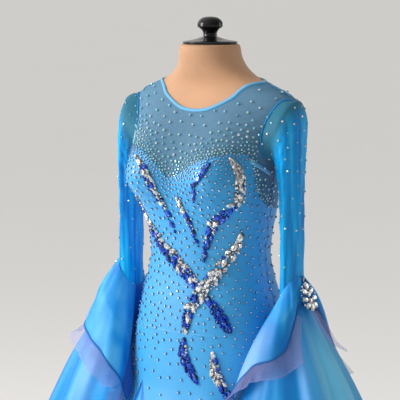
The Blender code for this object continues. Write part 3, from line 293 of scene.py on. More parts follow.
def oval(angle, half_width, front, back, centre_y, power, out=0.0):
    """A point of a squarish oval, and how far it looks ahead."""
    across, ahead = sin(radians(angle)), cos(radians(angle))
    depth = front if ahead > 0.0 else back
    return ((half_width + out) * signed_power(across, 2.0 / power),
            centre_y - (depth + out) * signed_power(ahead, 2.0 / power), ahead)


def figure_point(angle, z):
    """A point of the form's surface."""
    x, y, ahead = oval(angle, *table_row(FIGURE, z))
    if ahead > 0.0:
        level = hump(z - BUST_HEIGHT, BUST_RISE if z > BUST_HEIGHT else BUST_FALL)
        cups = hump(x - BUST_APART, BUST_SPREAD) + hump(x + BUST_APART, BUST_SPREAD)
        swell = BUST_OUT * level * cups * min(1.0, 2.2 * ahead)
        y -= swell
        x += 0.16 * swell * x / BUST_APART
    return Vector((x, y, z))


def figure_out(angle, z, out):
    """A point that lies out from the form's surface, square to it."""
    turn, rise = 1.0, 0.002
    low, high = z - rise, min(z + rise, NECK_TOP)
    along = figure_point(angle + turn, z) - figure_point(angle - turn, z)
    up = figure_point(angle, high) - figure_point(angle, low)
    return figure_point(angle, z) + along.cross(up).normalized() * out


def figure_normal(angle, z):
    return (figure_out(angle, z, 0.01) - figure_point(angle, z)).normalized()


def sweetheart(angle):
    """Height of the opaque bodice's upper edge."""
    side = abs(angle)
    return table_row(BACK_EDGE, side)[0] if side > 90 else table_row(SWEETHEART, angle)[0]


def neckline(angle):
    return table_row(NECKLINE, abs(angle))[0]


def binding_low(angle, z):
    """The height of the binding's lower edge, below its upper one at z."""
    start = figure_point(angle, z)
    return z - reach_out(lambda drop: (figure_point(angle, z - drop) - start).length
                         < BINDING_WIDTH, BINDING_WIDTH, 24)[0]


def armhole_weight(side):
    """How much a column shares of the armhole's lean: all at its edges."""
    if side <= FRONT_ARMHOLE:
        return max(0.0, (side - 20.0) / (FRONT_ARMHOLE - 20.0)) ** 1.3
    if side < 90:
        return (90.0 - side) / (90.0 - FRONT_ARMHOLE)
    if side <= BACK_ARMHOLE:
        return -(side - 90.0) / (BACK_ARMHOLE - 90.0)
    return -max(0.0, (170.0 - side) / (170.0 - BACK_ARMHOLE)) ** 1.3


def seam_angle(seam):
    """A seam's bearing; the seams after the last one go round again."""
    return GORE_SEAMS[seam % len(GORE_SEAMS)] + 360.0 * (seam // len(GORE_SEAMS))


def skirt_point(angle, z):
    """A point of the skirt's middle surface, flutes included."""
    *section, flute = table_row(SKIRT, z)
    round_from_first = (angle - GORE_SEAMS[0]) % 360.0 + GORE_SEAMS[0]
    gore = sum(1 for seam in GORE_SEAMS[1:] if seam <= round_from_first)
    start, end = seam_angle(gore), seam_angle(gore + 1)
    wave = 2 * pi * (round_from_first - start) / (end - start)
    unevenness = 1.0 + 0.16 * cos(wave / 2) * sin(2.1 * gore + 0.7)
    flutes = 0.62 * cos(2 * wave) + 0.38 * cos(wave)
    x, y, _ = oval(angle, *section, SKIRT_POWER, flute * flutes * unevenness)
    return Vector((x, y, z))


def godet_half_angle(seam, z):
    """Half of a godet's angle, straight between the skirt's rows."""
    top = GODET_TOPS[seam % len(GORE_SEAMS)]
    if z >= top:
        return 0.0
    above = min(row for row in SKIRT_ROWS if row >= z)
    below = max(row for row in SKIRT_ROWS if row <= z)
    start, end = (GODET_ANGLE * (1.0 - math.exp((min(row, top) - top) / GODET_OPENS))
                  for row in (above, below))
    return start if above == below else start + (end - start) * (above - z) / (above - below)


def skirt_degrees(distance, z):
    """The angle that this distance takes on the skirt at a height."""
    return math.degrees(distance / table_row(SKIRT, z)[0])


def gore_angle(gore, share, z):
    """The bearing at a share of a gore's width, between its godets."""
    edge = skirt_degrees(SEAM_GAP, z)
    start = seam_angle(gore) + godet_half_angle(gore, z) + edge
    end = seam_angle(gore + 1) - godet_half_angle(gore + 1, z) - edge
    return start + (end - start) * share


# ---------------------------------------------------------------- the floats' forms

def beside_the_skirt(point, clear):
    """The point, moved sideways if it lies nearer to the skirt or bodice than this."""
    if point.z > HIP_SEAM:
        half_width, front, back, centre_y = table_row(FIGURE, point.z)[:4]
        reach = clear + BODY_GAP + BODICE_WALL
    else:
        half_width, front, back, centre_y, flute = table_row(SKIRT, point.z)
        reach = clear + flute + SKIRT_WALL / 2
    y = point.y - centre_y
    share = abs(y / ((front if y < 0 else back) + reach))
    if share >= 1.0:
        return point
    side = (half_width + reach) * (1.0 - share ** SKIRT_POWER) ** (1 / SKIRT_POWER)
    return Vector((max(point.x, side), point.y, point.z))


def elbow_ring(turn, extra=0.0, lift=0.0):
    """A point on the slanted elbow seam of the left arm."""
    angle = radians(turn)
    return Vector((ARM_X + (SLEEVE_HALF_X + extra) * cos(angle),
                   ARM_Y - (SLEEVE_HALF_Y + extra) * sin(angle),
                   ELBOW_Z + ELBOW_SLANT * cos(angle) + lift))


def fall_section(drop, turn):
    """Centre, the two radii and the folds' depth of the inner float, on one bearing."""
    centre_x, centre_y, radius_x, radius_y, bulge, fold = table_row(FALL, drop)
    swell = bulge * hump(turn - FALL_BULGE_AT, FALL_BULGE_SPREAD)
    return centre_x, centre_y, radius_x + swell, radius_y + swell, fold


def inside_fall(point):
    """Whether a point lies in the inner float's bell, grown by its folds."""
    drop = 0.5
    for _ in range(3):
        centre_x, centre_y = table_row(FALL, drop)[:2]
        turn = math.degrees(math.atan2(centre_y - point.y, point.x - centre_x)) % 360
        top = elbow_ring(turn).z
        drop = min(1.0, max(0.0, (top - point.z) / (top - FALL_HEM_Z)))
    cx, cy, rx, ry, fold = fall_section(drop, turn)
    spare = fold + FALL_SPARE
    return math.hypot((point.x - cx) / (rx + spare), (point.y - cy) / (ry + spare)) < 1.0


def settle(point, turn):
    """Out of the inner float's bell on this bearing, then clear of the skirt."""
    out = bearing(turn)
    if inside_fall(point):
        point = point + out * reach_out(lambda far: inside_fall(point + out * far), 0.25, 16)[1]
    return beside_the_skirt(point, WRAP_CLEAR)


def wrap_hem(name, along):
    turn, x, y, z = table_row(WRAP_HEMS[name], along)
    return turn, Vector((x, y, z))


def wrap_point(name, along, share):
    """A point of a wrap float, as on the left; share runs from its seam to its hem."""
    turn, hem = wrap_hem(name, along)
    start = elbow_ring(turn, 0.0018, 0.0060)
    belly = min(WRAP_HUMP, 0.12 * (hem - start).length) * sin(pi * share)
    point = start.lerp(hem, share) + bearing(turn) * belly
    return settle(point, turn) if share > 0.05 else point


def crin_width(along):
    """Width of the horsehair braid, narrow at its ends and on the inner side."""
    share = max(0.15, min(1.0, 0.3 + (along - CRIN_STARTS) / 0.14,
                          0.4 + (CRIN_ENDS - along) / 0.08))
    return CRIN_WIDTH * share * (1.0 - 0.7 * hump(along - CRIN_TURNED_AT, 0.09))


# ---------------------------------------------------------------- materials

DARK_BLUE = (0.003, 0.135, 0.46)
SKY = (0.010, 0.325, 0.70)
MESH_BLUE = (0.015, 0.275, 0.51)
ORGANZA_BLUE = (0.004, 0.310, 0.78)
DEEP_BLUE = (0.0, 0.075, 0.40)
LILAC = (0.36, 0.38, 0.76)
# Painted light: the sleeve's blue is lighter than the mesh's own, for the light that passes through
# the sheer cloth.
SLEEVE_BLUE = (0.0, 0.380, 0.90)
HANGING = (17.0, 1.1)               # streaks to a metre, across and down a hanging cloth


def feed(node, inputs):
    """Sets a node's inputs: each a number or colour, or another node's output to link."""
    for key, value in inputs.items():
        if isinstance(value, bpy.types.NodeSocket):
            node.id_data.links.new(value, node.inputs[key])
        else:
            node.inputs[key].default_value = value


def add(beside, kind, inputs, **properties):
    """A new shader node in the tree of another one."""
    made = beside.id_data.nodes.new("ShaderNode" + kind)
    for key, value in properties.items():
        setattr(made, key, value)
    feed(made, inputs)
    return made


def ramp(source, *stops):
    """The colour output of a ramp fed by another node's output."""
    made = add(source.node, "ValToRGB", {"Fac": source})
    ends = made.color_ramp.elements
    for element, (place, colour) in ((ends[0], stops[0]), (ends[1], stops[-1])):
        element.position, element.color = place, (*colour, 1.0)
    for place, colour in stops[1:-1]:
        ends.new(place).color = (*colour, 1.0)
    return made.outputs["Color"]


def grain(shader, scale, detail=2.0):
    """Uneven grey in the piece's own space."""
    place = add(shader, "TexCoord", {}).outputs["Object"]
    return add(shader, "TexNoise", {"Vector": place, "Scale": scale,
                                    "Detail": detail}).outputs["Fac"]


def cloudy(shader, low, high, scale):
    """Slow uneven colour over the piece."""
    feed(shader, {"Base Color": ramp(grain(shader, scale, 3.0), (0.3, low), (0.7, high))})


def bumpy(shader, height, strength, distance):
    bump = add(shader, "Bump", {"Height": height, "Strength": strength, "Distance": distance})
    feed(shader, {"Normal": bump.outputs["Normal"]})


def shares(shader):
    """Outputs for the shares across and down a cloth."""
    place = add(shader, "UVMap", {}, uv_map="share").outputs["UV"]
    split = add(shader, "SeparateXYZ", {"Vector": place})
    return split.outputs["X"], split.outputs["Y"]


def times(first, second):
    return add(first.node, "Math", {0: first, 1: second}, operation="MULTIPLY").outputs[0]


def tone(colour, share):
    return tuple(min(1.0, part * share) for part in colour)


def principled(name, colour, roughness, **sockets):
    """A material and its shader; colour and constants sit on the shader's own sockets."""
    made = bpy.data.materials.new(name)
    made.use_nodes = True
    shader = made.node_tree.nodes["Principled BSDF"]
    feed(shader, {"Base Color": (*colour, 1.0), "Roughness": roughness})
    feed(shader, {key.replace("_", " "): value for key, value in sockets.items()})
    return made, shader


def woven(name, colour, roughness, pitch, bump, alpha=1.0, sheen=0.3,
          sheen_tint=(0.45, 0.75, 1.0), cross=True, gloss=0.3):
    """A woven or knitted surface of this thread pitch, from the cloth's own lengths."""
    made, shader = principled(name, colour, roughness, Alpha=alpha, Sheen_Weight=sheen,
                              Sheen_Roughness=0.45, Sheen_Tint=(*sheen_tint, 1.0),
                              Specular_IOR_Level=gloss)
    place = add(shader, "TexCoord", {}).outputs["UV"]
    waves = [add(shader, "TexWave", {"Vector": place, "Scale": 0.314 / pitch,
                                     "Distortion": 0.6, "Detail": 1.0},
                 bands_direction=axis).outputs["Fac"] for axis in ("XY" if cross else "X")]
    bumpy(shader, times(*waves) if cross else waves[0], bump, 0.0004)
    return made, shader


def cloth_look(name, colour, *rest, **more):
    """Cloth of one slowly uneven colour."""
    made, shader = woven(name, colour, *rest, **more)
    cloudy(shader, tone(colour, 0.94), tone(colour, 1.06), 9.0)
    return made


def organza_look(name, alpha, squeeze, low, middle, high, gloss=0.35, roughness=0.42, sheen=0.08):
    """Thin cloth with long streaks: deeper where its folds hang close and layers overlap, and
    painted fold shade and painted highlights in its darker and lighter streaks.
    """
    made, shader = woven(name, middle, roughness, 0.0006, 0.22, alpha, sheen, gloss=gloss)
    place = add(shader, "UVMap", {}, uv_map="lengths").outputs["UV"]
    shrink = add(shader, "VectorMath", {0: place, 1: (*squeeze, 1.0)}, operation="MULTIPLY")
    streak = add(shader, "TexNoise", {"Vector": shrink.outputs["Vector"], "Scale": 1.0,
                                      "Detail": 2.0, "Distortion": 0.5})
    feed(shader, {"Base Color": ramp(streak.outputs["Fac"], (0.34, low), (0.50, middle),
                                     (0.65, high))})
    return made


def blend_over(made, colour, across=None, until=None, down=None, slant=0.0):
    """Blends a colour in over part of a cloth, by its shares across and down."""
    shader = made.node_tree.nodes["Principled BSDF"]
    under = shader.inputs["Base Color"].links[0].from_socket
    x, y = shares(shader)
    line = add(shader, "Math", {0: y, 1: slant, 2: x}, operation="MULTIPLY_ADD").outputs[0]
    amounts = []
    for source, span in ((line, across), (line, until), (y, down)):
        if span:
            rising = float(span[0] < span[1])
            amounts.append(add(shader, "MapRange", {
                "Value": source, "From Min": min(span), "From Max": max(span),
                "To Min": 1.0 - rising, "To Max": rising},
                interpolation_type="SMOOTHSTEP").outputs["Result"])
    amount = amounts[0]
    for other in amounts[1:]:
        amount = times(amount, other)
    mix = add(shader, "Mix", {}, data_type="RGBA")
    feed(mix, {0: amount, 6: under, 7: (*colour, 1.0)})
    feed(shader, {"Base Color": mix.outputs[2]})


def braid_look():
    """Horsehair braid, its colour held back until the thread along its far edge."""
    made, shader = woven("horsehair_braid", LILAC, 0.38, 0.0016, 0.5, alpha=0.40, sheen=0.2)
    low, edge = tone(LILAC, 0.85), tone(LILAC, 0.8)
    feed(shader, {"Base Color": ramp(shares(shader)[1], (0.0, low), (0.90, low),
                                     (0.94, LILAC), (1.0, edge))})
    return made


def stone_look(name, roughness, metallic):
    """Foiled glass: each facet takes its colour from the stones' facet colours, whose brightness is
    painted shade, painted reflections and painted highlights.
    """
    made, shader = principled(name, (0.8, 0.85, 0.95), roughness, Metallic=metallic,
                              Coat_Weight=0.8, Coat_Roughness=0.03)
    facet = add(shader, "VertexColor", {}, layer_name="facet")
    feed(shader, {"Base Color": facet.outputs["Color"]})
    return made


def lacquer_look():
    made, shader = principled("black_lacquer", (0.004, 0.004, 0.005), 0.12,
                              Specular_IOR_Level=0.22, Coat_Weight=0.25, Coat_Roughness=0.04)
    feed(shader, {"Roughness": ramp(grain(shader, 60.0), (0.3, (0.08,) * 3), (0.7, (0.2,) * 3))})
    return made


def steel_look():
    made, shader = principled("black_steel", (0.018, 0.018, 0.020), 0.4, Metallic=0.3,
                              Coat_Weight=0.3)
    bumpy(shader, grain(shader, 900.0), 0.15, 0.0003)
    cloudy(shader, (0.014,) * 3, (0.026,) * 3, 14.0)
    return made


def floor_look():
    made, shader = principled("pale_floor", (0.94, 0.925, 0.905), 0.85, Specular_IOR_Level=0.1)
    cloudy(shader, (0.935, 0.92, 0.90), (0.945, 0.93, 0.91), 0.4)
    return made


LOOKS = {
    "jersey": cloth_look("form_jersey", (0.56, 0.300, 0.160), 0.62, 0.0011, 0.35, sheen=0.35,
                         sheen_tint=(1.0, 0.90, 0.8), cross=False, gloss=0.5),
    "crepe": cloth_look("sky_crepe", SKY, 0.50, 0.0009, 0.30, sheen=0.25,
                        sheen_tint=(0.6, 0.88, 1.0), gloss=0.75),
    "yoke": cloth_look("yoke_mesh", MESH_BLUE, 0.75, 0.0012, 0.25, alpha=0.60, sheen=0.15),
    "elastic": cloth_look("neck_elastic", (0.15, 0.46, 0.76), 0.5, 0.0008, 0.4, sheen=0.3,
                          cross=False),
    "tape": cloth_look("blue_tape", DARK_BLUE, 0.38, 0.0007, 0.3, sheen=0.1, cross=False),
    "stitch": cloth_look("seam_line", (0.028, 0.305, 0.655), 0.6, 0.0007, 0.2, sheen=0.2,
                         cross=False),
    "seam": cloth_look("seam_binding", (0.006, 0.21, 0.56), 0.5, 0.0007, 0.3, sheen=0.1,
                       cross=False),
    "godet": organza_look("skirt_organza", 1.0, HANGING, (0.0, 0.17, 0.62), ORGANZA_BLUE,
                          (0.12, 0.48, 0.84)),
    "sleeve": organza_look("sleeve_mesh", 0.88, (62.0, 4.5), (0.0, 0.21, 0.64), SLEEVE_BLUE,
                           (0.01, 0.52, 1.0), 0.12, 0.5, 0.0),
    "crin": braid_look(),
    "stones": stone_look("foiled_stones", 0.08, 0.62),
    "rhinestones": stone_look("small_foiled_stones", 0.10, 0.22),
    "lacquer": lacquer_look(),
    "steel": steel_look(),
    "floor": floor_look(),
}
for NAME in ("left", "right"):
    LOOKS[f"fall_{NAME}"] = organza_look(f"fall_organza_{NAME}", 0.97, HANGING,
                                         (0.0, 0.15, 0.58), ORGANZA_BLUE, (0.11, 0.40, 0.84))
    LOOKS[f"wrap_{NAME}"] = organza_look(f"wrap_organza_{NAME}", 0.96, (13.0, 7.0),
                                         (0.0, 0.20, 0.66), ORGANZA_BLUE, (0.07, 0.45, 0.87))
# Painted light: the wearer's left float is painted paler round its outer side, lower down, to look
# lit where it hangs in shade.
for ACROSS in ((0.14, 0.05), (0.86, 0.95)):
    blend_over(LOOKS["fall_left"], (0.16, 0.62, 0.92), ACROSS, down=(0.10, 0.45))
# Painted shade: each godet is darker towards its point at the top, where it sits in the crease
# between the gores.
blend_over(LOOKS["godet"], (0.0, 0.15, 0.55), down=(0.22, 0.04))
blend_over(LOOKS["sleeve"], (0.03, 0.185, 0.290), down=(0.30, 0.02))
# Painted light: a paler patch on the lower front of the wearer's left wrap float, where it is lit.
blend_over(LOOKS["wrap_left"], (0.20, 0.44, 0.84), (0.28, 0.44), (0.66, 0.54), (0.15, 0.65))
# The shade under each wrap's turned front edge; the right one's shares run the other way.
blend_over(LOOKS["wrap_left"], DEEP_BLUE, (0.600, 0.612), (0.82, 0.70), slant=0.10)
blend_over(LOOKS["wrap_right"], DEEP_BLUE, (1 - 0.600, 1 - 0.612), (1 - 0.82, 1 - 0.70),
           slant=-0.10)


# ---------------------------------------------------------------- meshes

def on_root(made, slot, *nodes):
    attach(made, "root")
    if nodes:
        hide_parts(*nodes)
    return made


def mesh_object(name, points, faces, look, smooth=True):
    mesh = bpy.data.meshes.new(name)
    mesh.from_pydata(points, [], faces)
    mesh.materials.append(LOOKS[look])
    if smooth:
        mesh.shade_smooth()
    made = bpy.data.objects.new(name, mesh)
    bpy.context.scene.collection.objects.link(made)
    return made


def running(points):
    """Distances along a line of points."""
    along = [0.0]
    for before, after in zip(points, points[1:]):
        along.append(along[-1] + (after - before).length)
    return along


def grid_object(name, grid, look, slot=None, *nodes, side=1, closed=False, solid=0.0, offset=0.0):
    """A cloth surface through a grid of points, with its own lengths as coordinates.

    On side -1 the grid is mirrored. With a slot it rides on the root and replaces nodes."""
    if side < 0:
        grid = [[Vector((-p.x, p.y, p.z)) for p in reversed(line)] for line in grid]
    rows, columns = len(grid), len(grid[0])
    spans = columns if closed else columns - 1
    faces = [(r * columns + c, r * columns + (c + 1) % columns,
              (r + 1) * columns + (c + 1) % columns, (r + 1) * columns + c)
             for r in range(rows - 1) for c in range(spans)]
    made = mesh_object(name, [point for line in grid for point in line], faces, look)
    middle = grid[rows // 2]
    along = running(middle + middle[:1] if closed else middle)
    down = running([line[columns // 2] for line in grid])
    lengths = made.data.uv_layers.new(name="lengths")
    share = made.data.uv_layers.new(name="share")
    corners = [(c + i, r + j) for r in range(rows - 1) for c in range(spans)
               for i, j in ((0, 0), (1, 0), (1, 1), (0, 1))]
    for loop, (i, j) in enumerate(corners):
        lengths.data[loop].uv = (along[i], down[j])
        share.data[loop].uv = (i / spans, j / (rows - 1))
    if solid:
        thicken = made.modifiers.new("thickness", "SOLIDIFY")
        thicken.thickness = solid
        thicken.offset = offset
    return on_root(made, slot, *nodes) if slot else made


def columns_object(name, lines, *rest, **more):
    """A grid object from its columns: each line runs down the piece."""
    return grid_object(name, [list(row) for row in zip(*lines)], *rest, **more)


def fine(values, steps):
    """The values with evenly spaced ones between them."""
    line = []
    for low, high in zip(values, values[1:]):
        line += [low + (high - low) * k / steps for k in range(steps)]
    return line + [values[-1]]


def near_edges(count):
    """Even shares from 0 to 1, with one more close to each end to keep an edge crisp."""
    return [0.0, 0.004] + [k / count for k in range(1, count)] + [0.996, 1.0]


def turned(name, profile, look, node, low=0.0, steps=0, centre=(0.0, 0.0), sides=72):
    """A round piece from (radius, z above low) points, closed at both ends."""
    profile = [(radius, low + z) for radius, z in profile]
    if steps:
        count = (len(profile) - 1) * steps
        profile = [through(profile, k / count) for k in range(count + 1)]
    points = [Vector((centre[0] + radius * cos(2 * pi * k / sides),
                      centre[1] + radius * sin(2 * pi * k / sides), z))
              for radius, z in profile for k in range(sides)]
    last = (len(profile) - 1) * sides
    faces = [(r + sides + k, r + sides + (k + 1) % sides, r + (k + 1) % sides, r + k)
             for r in range(0, last, sides) for k in range(sides)]
    faces += [tuple(range(sides)), tuple(reversed(range(last, last + sides)))]
    made = mesh_object(name, points, faces, look)
    made.data.set_sharp_from_angle(angle=radians(50))
    on_root(made, look, node)


# ---------------------------------------------------------------- the form and stand

FULL_ROUND = [-d for d in reversed(HALF_COLUMNS[1:])] + list(HALF_COLUMNS)
AROUND = fine(FULL_ROUND, 3)[:-1]
FORM_TOP = 1.462
PLATE_THICK = 0.016
COLLAR_HEIGHT = 0.050
POLE_RADIUS = 0.016
POLE_FOOT = 0.0305           # the pole stands this far above the foot's upper face

# Turned profiles as (radius, height), from the top down.
CAP = ((0.0130, 0.0150), (0.0200, 0.0125), (0.0330, 0.0088), (0.0530, 0.0048),
       (0.0549, 0.0030), (0.0543, 0.0006), (0.0530, 0.0))
KNOB = ((0.0010, 0.0386), (0.0120, 0.0374), (0.0195, 0.0336), (0.0236, 0.0288),
        (0.0253, 0.0240), (0.0253, 0.0190), (0.0232, 0.0166), (0.0180, 0.0130),
        (0.0148, 0.0085), (0.0136, 0.0040), (0.0140, 0.0))
COLLAR = ((0.0246, 0.0), (0.0291, -0.0016), (0.030, -0.005), (0.030, -0.045),
          (0.0291, -0.0484), (0.0246, -0.050))
FOOT = ((0.0200, 0.044), (0.0238, 0.041), (0.0252, 0.034), (0.0300, 0.020), (0.0420, 0.015),
        (0.170, 0.014), (0.196, 0.010), (0.200, 0.005), (0.200, 0.001), (0.199, 0.0))


def drawn_in(line, centre, inset, z):
    """A level line of points moved towards a centre, at a height."""
    made = []
    for p in line:
        radial = Vector((p.x, p.y, 0.0)) - centre
        made.append(centre + radial * max(0.0, 1 - inset / radial.length) + Vector((0.0, 0.0, z)))
    return made


def make_form():
    heights = [FORM_BOTTOM + (FORM_TOP - FORM_BOTTOM) * k / 90 for k in range(91)]
    rows = [[figure_point(d, z) for d in AROUND] for z in heights]
    floor = [[Vector((p.x * keep, p.y * keep, p.z)) for p in rows[0]] for keep in (0.0, 0.5, 0.985)]
    top = [drawn_in(rows[-1], Vector((*NECK_CENTRE, 0.0)), inset, FORM_TOP + rise)
           for inset, rise in ((0.0012, 0.0030), (0.0040, 0.0045), (0.010, 0.0050),
                               (0.0608, 0.0050))]
    grid_object("form_figure", floor + rows + top, "jersey", "jersey", "form_torso",
                          closed=True)


def make_stand():
    cap = NECK_TOP + SEAM_GAP
    turned("neck_cap", CAP, "lacquer", "form_neck_cap", cap, 4, NECK_CENTRE)
    turned("neck_knob", KNOB, "lacquer", "form_neck_knob", cap + CAP[0][1] + SEAM_GAP, 4,
           NECK_CENTRE)
    top = FORM_BOTTOM - SEAM_GAP
    low = top - PLATE_THICK
    edge = [figure_point(d, FORM_BOTTOM) for d in AROUND]
    rows = [[Vector((0, 0, z))] * len(AROUND) for z in (top, low)]
    rows[1:1] = [drawn_in(edge, Vector(), inset, z) for z, inset in (
        (top, 0.006), (top - 0.0015, 0.002), (top - 0.004, 0.001),
        (low + 0.004, 0.001), (low + 0.0015, 0.002), (low, 0.006))]
    grid_object("bottom_plate", rows, "lacquer", "lacquer", "form_bottom_plate", closed=True)
    collar = low - SEAM_GAP
    turned("collar", COLLAR, "steel", "stand_collar", collar, 2)
    turned("pole", ((POLE_RADIUS, collar - COLLAR_HEIGHT - SEAM_GAP),
                    (POLE_RADIUS, FOOT_THICK + POLE_FOOT)), "steel", "stand_pole")
    turned("foot", FOOT, "steel", "stand_foot", steps=3, sides=96)


# ---------------------------------------------------------------- bodice, yoke, binding

ARM_FINE = 6
SEAM_CATCH = 0.009           # yoke points this near to the armhole's curve move onto it
SIDE_LOW, SIDE_HIGH = 1.1540, 1.2405                # the mesh side seam under the arm
SHOULDER_LOW = 1.3660
BACK_LOW = 1.1080
STRAP = ((62, 1.2480), (67, 1.2420), (72, 1.2360), (77, 1.2290), (81, 1.2240), (85, 1.2190))

# The neck binding's round back: share of its width, and how far out from the form.
BINDING = ((0.0, 0.0012), (0.06, 0.0024), (0.25, 0.0033), (0.5, 0.0036), (0.75, 0.0033),
           (0.94, 0.0024), (1.0, 0.0012))


def yoke_place(angle, share):
    """Angle and height on the yoke: share runs from the bodice to the neckline."""
    low = sweetheart(angle)
    z = low + share * (binding_low(angle, neckline(angle)) - low)
    lean = table_row(ARMHOLE_LEAN, z)[0] * armhole_weight(abs(angle))
    return (angle - lean if angle > 0 else angle + lean), z


def armhole_ring():
    """Fine points round the left armhole, as (angle, z), from its top by the front."""
    keys = [(90, HIGH_ARM), (81, HIGH_ARM), (73, HIGH_ARM)]
    keys += [(73, YOKE_STEPS[k]) for k in (5, 4, 3)]
    keys += [(d, LOW_ARM) for d in (73, 81, 90, 100, 111)]
    keys += [(111, YOKE_STEPS[k]) for k in (3, 4, 5)]
    keys += [(111, HIGH_ARM), (100, HIGH_ARM)]
    ring = []
    for (d, share), (after, share_after) in zip(keys, keys[1:] + keys[:1]):
        for step in range(ARM_FINE):
            t = step / ARM_FINE
            ring.append(yoke_place(d + (after - d) * t, share + (share_after - share) * t))
    for _ in range(24):
        ring = [((before[0] + 2 * d + after[0]) / 4, (before[1] + 2 * z + after[1]) / 4)
                for before, (d, z), after in zip(ring[-1:] + ring, ring, ring[1:] + ring[:1])]
    return ring


def bodice_panel(name, node, first, last):
    grid = []
    for share in near_edges(48):
        line = []
        for d in fine([d for d in FULL_ROUND if first <= d <= last], 3):
            z = HIP_SEAM + SEAM_GAP + share * (sweetheart(d) - SEAM_GAP - HIP_SEAM)
            waist = hump(z - 1.04, 0.07) * sin(z * 230 + 2.0 * sin(d * 0.06))
            worn = 0.0005 * noise.noise(figure_point(d, z) * 18)
            line.append(figure_out(d, z, BODY_GAP + BODICE_WALL / 2 + 0.0006 + worn
                                   + 0.0004 * waist))
        grid.append(line)
    return grid_object(name, grid, "crepe", "crepe", node, solid=0.0010)


def yoke_panel(name, node, first, last, seam):
    """A sheer panel; the edge of its armhole follows the seam's soft curve."""
    columns = fine([d for d in FULL_ROUND if first <= d <= last], 3)
    shares = fine(YOKE_STEPS, 4)
    count = len(columns)
    points, faces = [], []
    for share in shares:
        for d in columns:
            p = figure_out(*yoke_place(d, share), YOKE_OUT)
            beside = abs(d) in (FRONT_ARMHOLE, BACK_ARMHOLE) and LOW_ARM <= share <= HIGH_ARM
            across = share in (LOW_ARM, HIGH_ARM) and FRONT_ARMHOLE <= abs(d) <= BACK_ARMHOLE
            if beside or across:
                nearest = min(seam, key=lambda other: (other - p).length_squared)
                p = nearest if (nearest - p).length < SEAM_CATCH else p
            points.append(p)
    for r in range(len(shares) - 1):
        for c in range(count - 1):
            middle = abs(columns[c] + columns[c + 1]) / 2
            level = (shares[r] + shares[r + 1]) / 2
            if not (FRONT_ARMHOLE < middle < BACK_ARMHOLE and LOW_ARM < level < HIGH_ARM):
                k = r * count + c
                faces.append((k, k + 1, k + 1 + count, k + count))
    made = mesh_object(name, points, faces, "yoke")
    lengths = made.data.uv_layers.new(name="lengths")
    for loop in made.data.loops:
        p = made.data.vertices[loop.vertex_index].co
        lengths.data[loop.index].uv = (0.15 * math.atan2(p.x, -p.y), p.z)
    return on_root(made, "mesh", node)


def strip_along(name, places, width, look, lift, slot="mesh"):
    """A narrow tape that lies on the figure along (angle, z) places."""
    middles = [figure_out(d, z, lift) for d, z in places]
    grid = [[], [], []]
    for k, (d, z) in enumerate(places):
        along = middles[min(k + 1, len(middles) - 1)] - middles[max(k - 1, 0)]
        out = figure_normal(d, z)
        across = along.cross(out).normalized() * width / 2
        for line, move in zip(grid, (-across, out * 0.0004, across)):
            line.append(middles[k] + move)
    return grid_object(name, grid, look, slot, solid=0.0006)


def upright(angle, low, high, steps):
    """Places from low to high at one angle."""
    return [(angle, low + (high - low) * k / steps) for k in range(steps + 1)]


def make_upper():
    seam = [figure_out(d, z, YOKE_OUT) for d, z in armhole_ring()]
    seam += [Vector((-p.x, p.y, p.z)) for p in seam]
    for name, *ends in (("front", -90, 90), ("back_left", 90, 180), ("back_right", -180, -90)):
        bodice_panel(f"cloth_bodice_{name}", f"bodice_{name}", *ends)
        yoke_panel(f"cloth_yoke_{name}", f"yoke_{name}", *ends, seam)
    lines = []
    for d in AROUND:
        z = neckline(d)
        low = binding_low(d, z)
        lines.append([figure_out(d, low + share * (z - low), out) for share, out in BINDING])
    binding = columns_object("cloth_neck_binding", lines, "elastic", "elastic",
                             "neck_binding", closed=True, solid=0.0005, offset=-1)
    seams = []
    for side, name in SIDES:
        d = side * 90.0
        strip_along(f"side_fold_{name}", upright(d, HIP_SEAM + 0.001, SIDE_LOW + 0.001, 60),
                    0.0026, "crepe", 0.0026, "crepe")
        seams += [strip_along(f"shoulder_seam_{name}",
                              upright(d, SHOULDER_LOW, neckline(90) - 0.008, 24), 0.0045,
                              "seam", 0.0034),
                  strip_along(f"side_seam_{name}", upright(d, SIDE_LOW, SIDE_HIGH, 24),
                              0.0035, "seam", 0.0034)]
    for side, name in SIDES:
        seams.append(strip_along(f"cup_elastic_{name}", [(side * d, z) for d, z in STRAP],
                                 0.0085, "elastic", 0.0032))
    back = strip_along("centre_back_seam", upright(180.0, BACK_LOW, neckline(180) - 0.012, 40),
                       0.006, "seam", 0.0034)


# ---------------------------------------------------------------- sleeves

SLEEVE_FOLDS = 5
SLEEVE_STEPS = 70
CAP_SHARES = (0.35, 0.7)     # rings between the armhole and the sleeve's first one


def sleeve_fold(turn, down, side):
    """Long soft folds of the empty sleeve: positive stands out."""
    shift = 0.8 if side > 0 else 2.3
    wander = 0.55 * sin(down * 4.1 + shift) + 0.3 * sin(down * 9.0 + 2 * shift)
    deep = 0.0022 * clamped((down - 0.12) * 3.0) * (1.0 - 0.65 * down ** 6)
    wave = (sin(SLEEVE_FOLDS * turn + shift + wander * 2.2)
            + 0.5 * sin((SLEEVE_FOLDS + 3) * turn - wander * 3 + 1.0))
    cross = 0.0006 * sin(down * 46 + 3 * sin(turn + shift))
    return deep * wave * 0.75 + cross * min(1.0, down * 3)


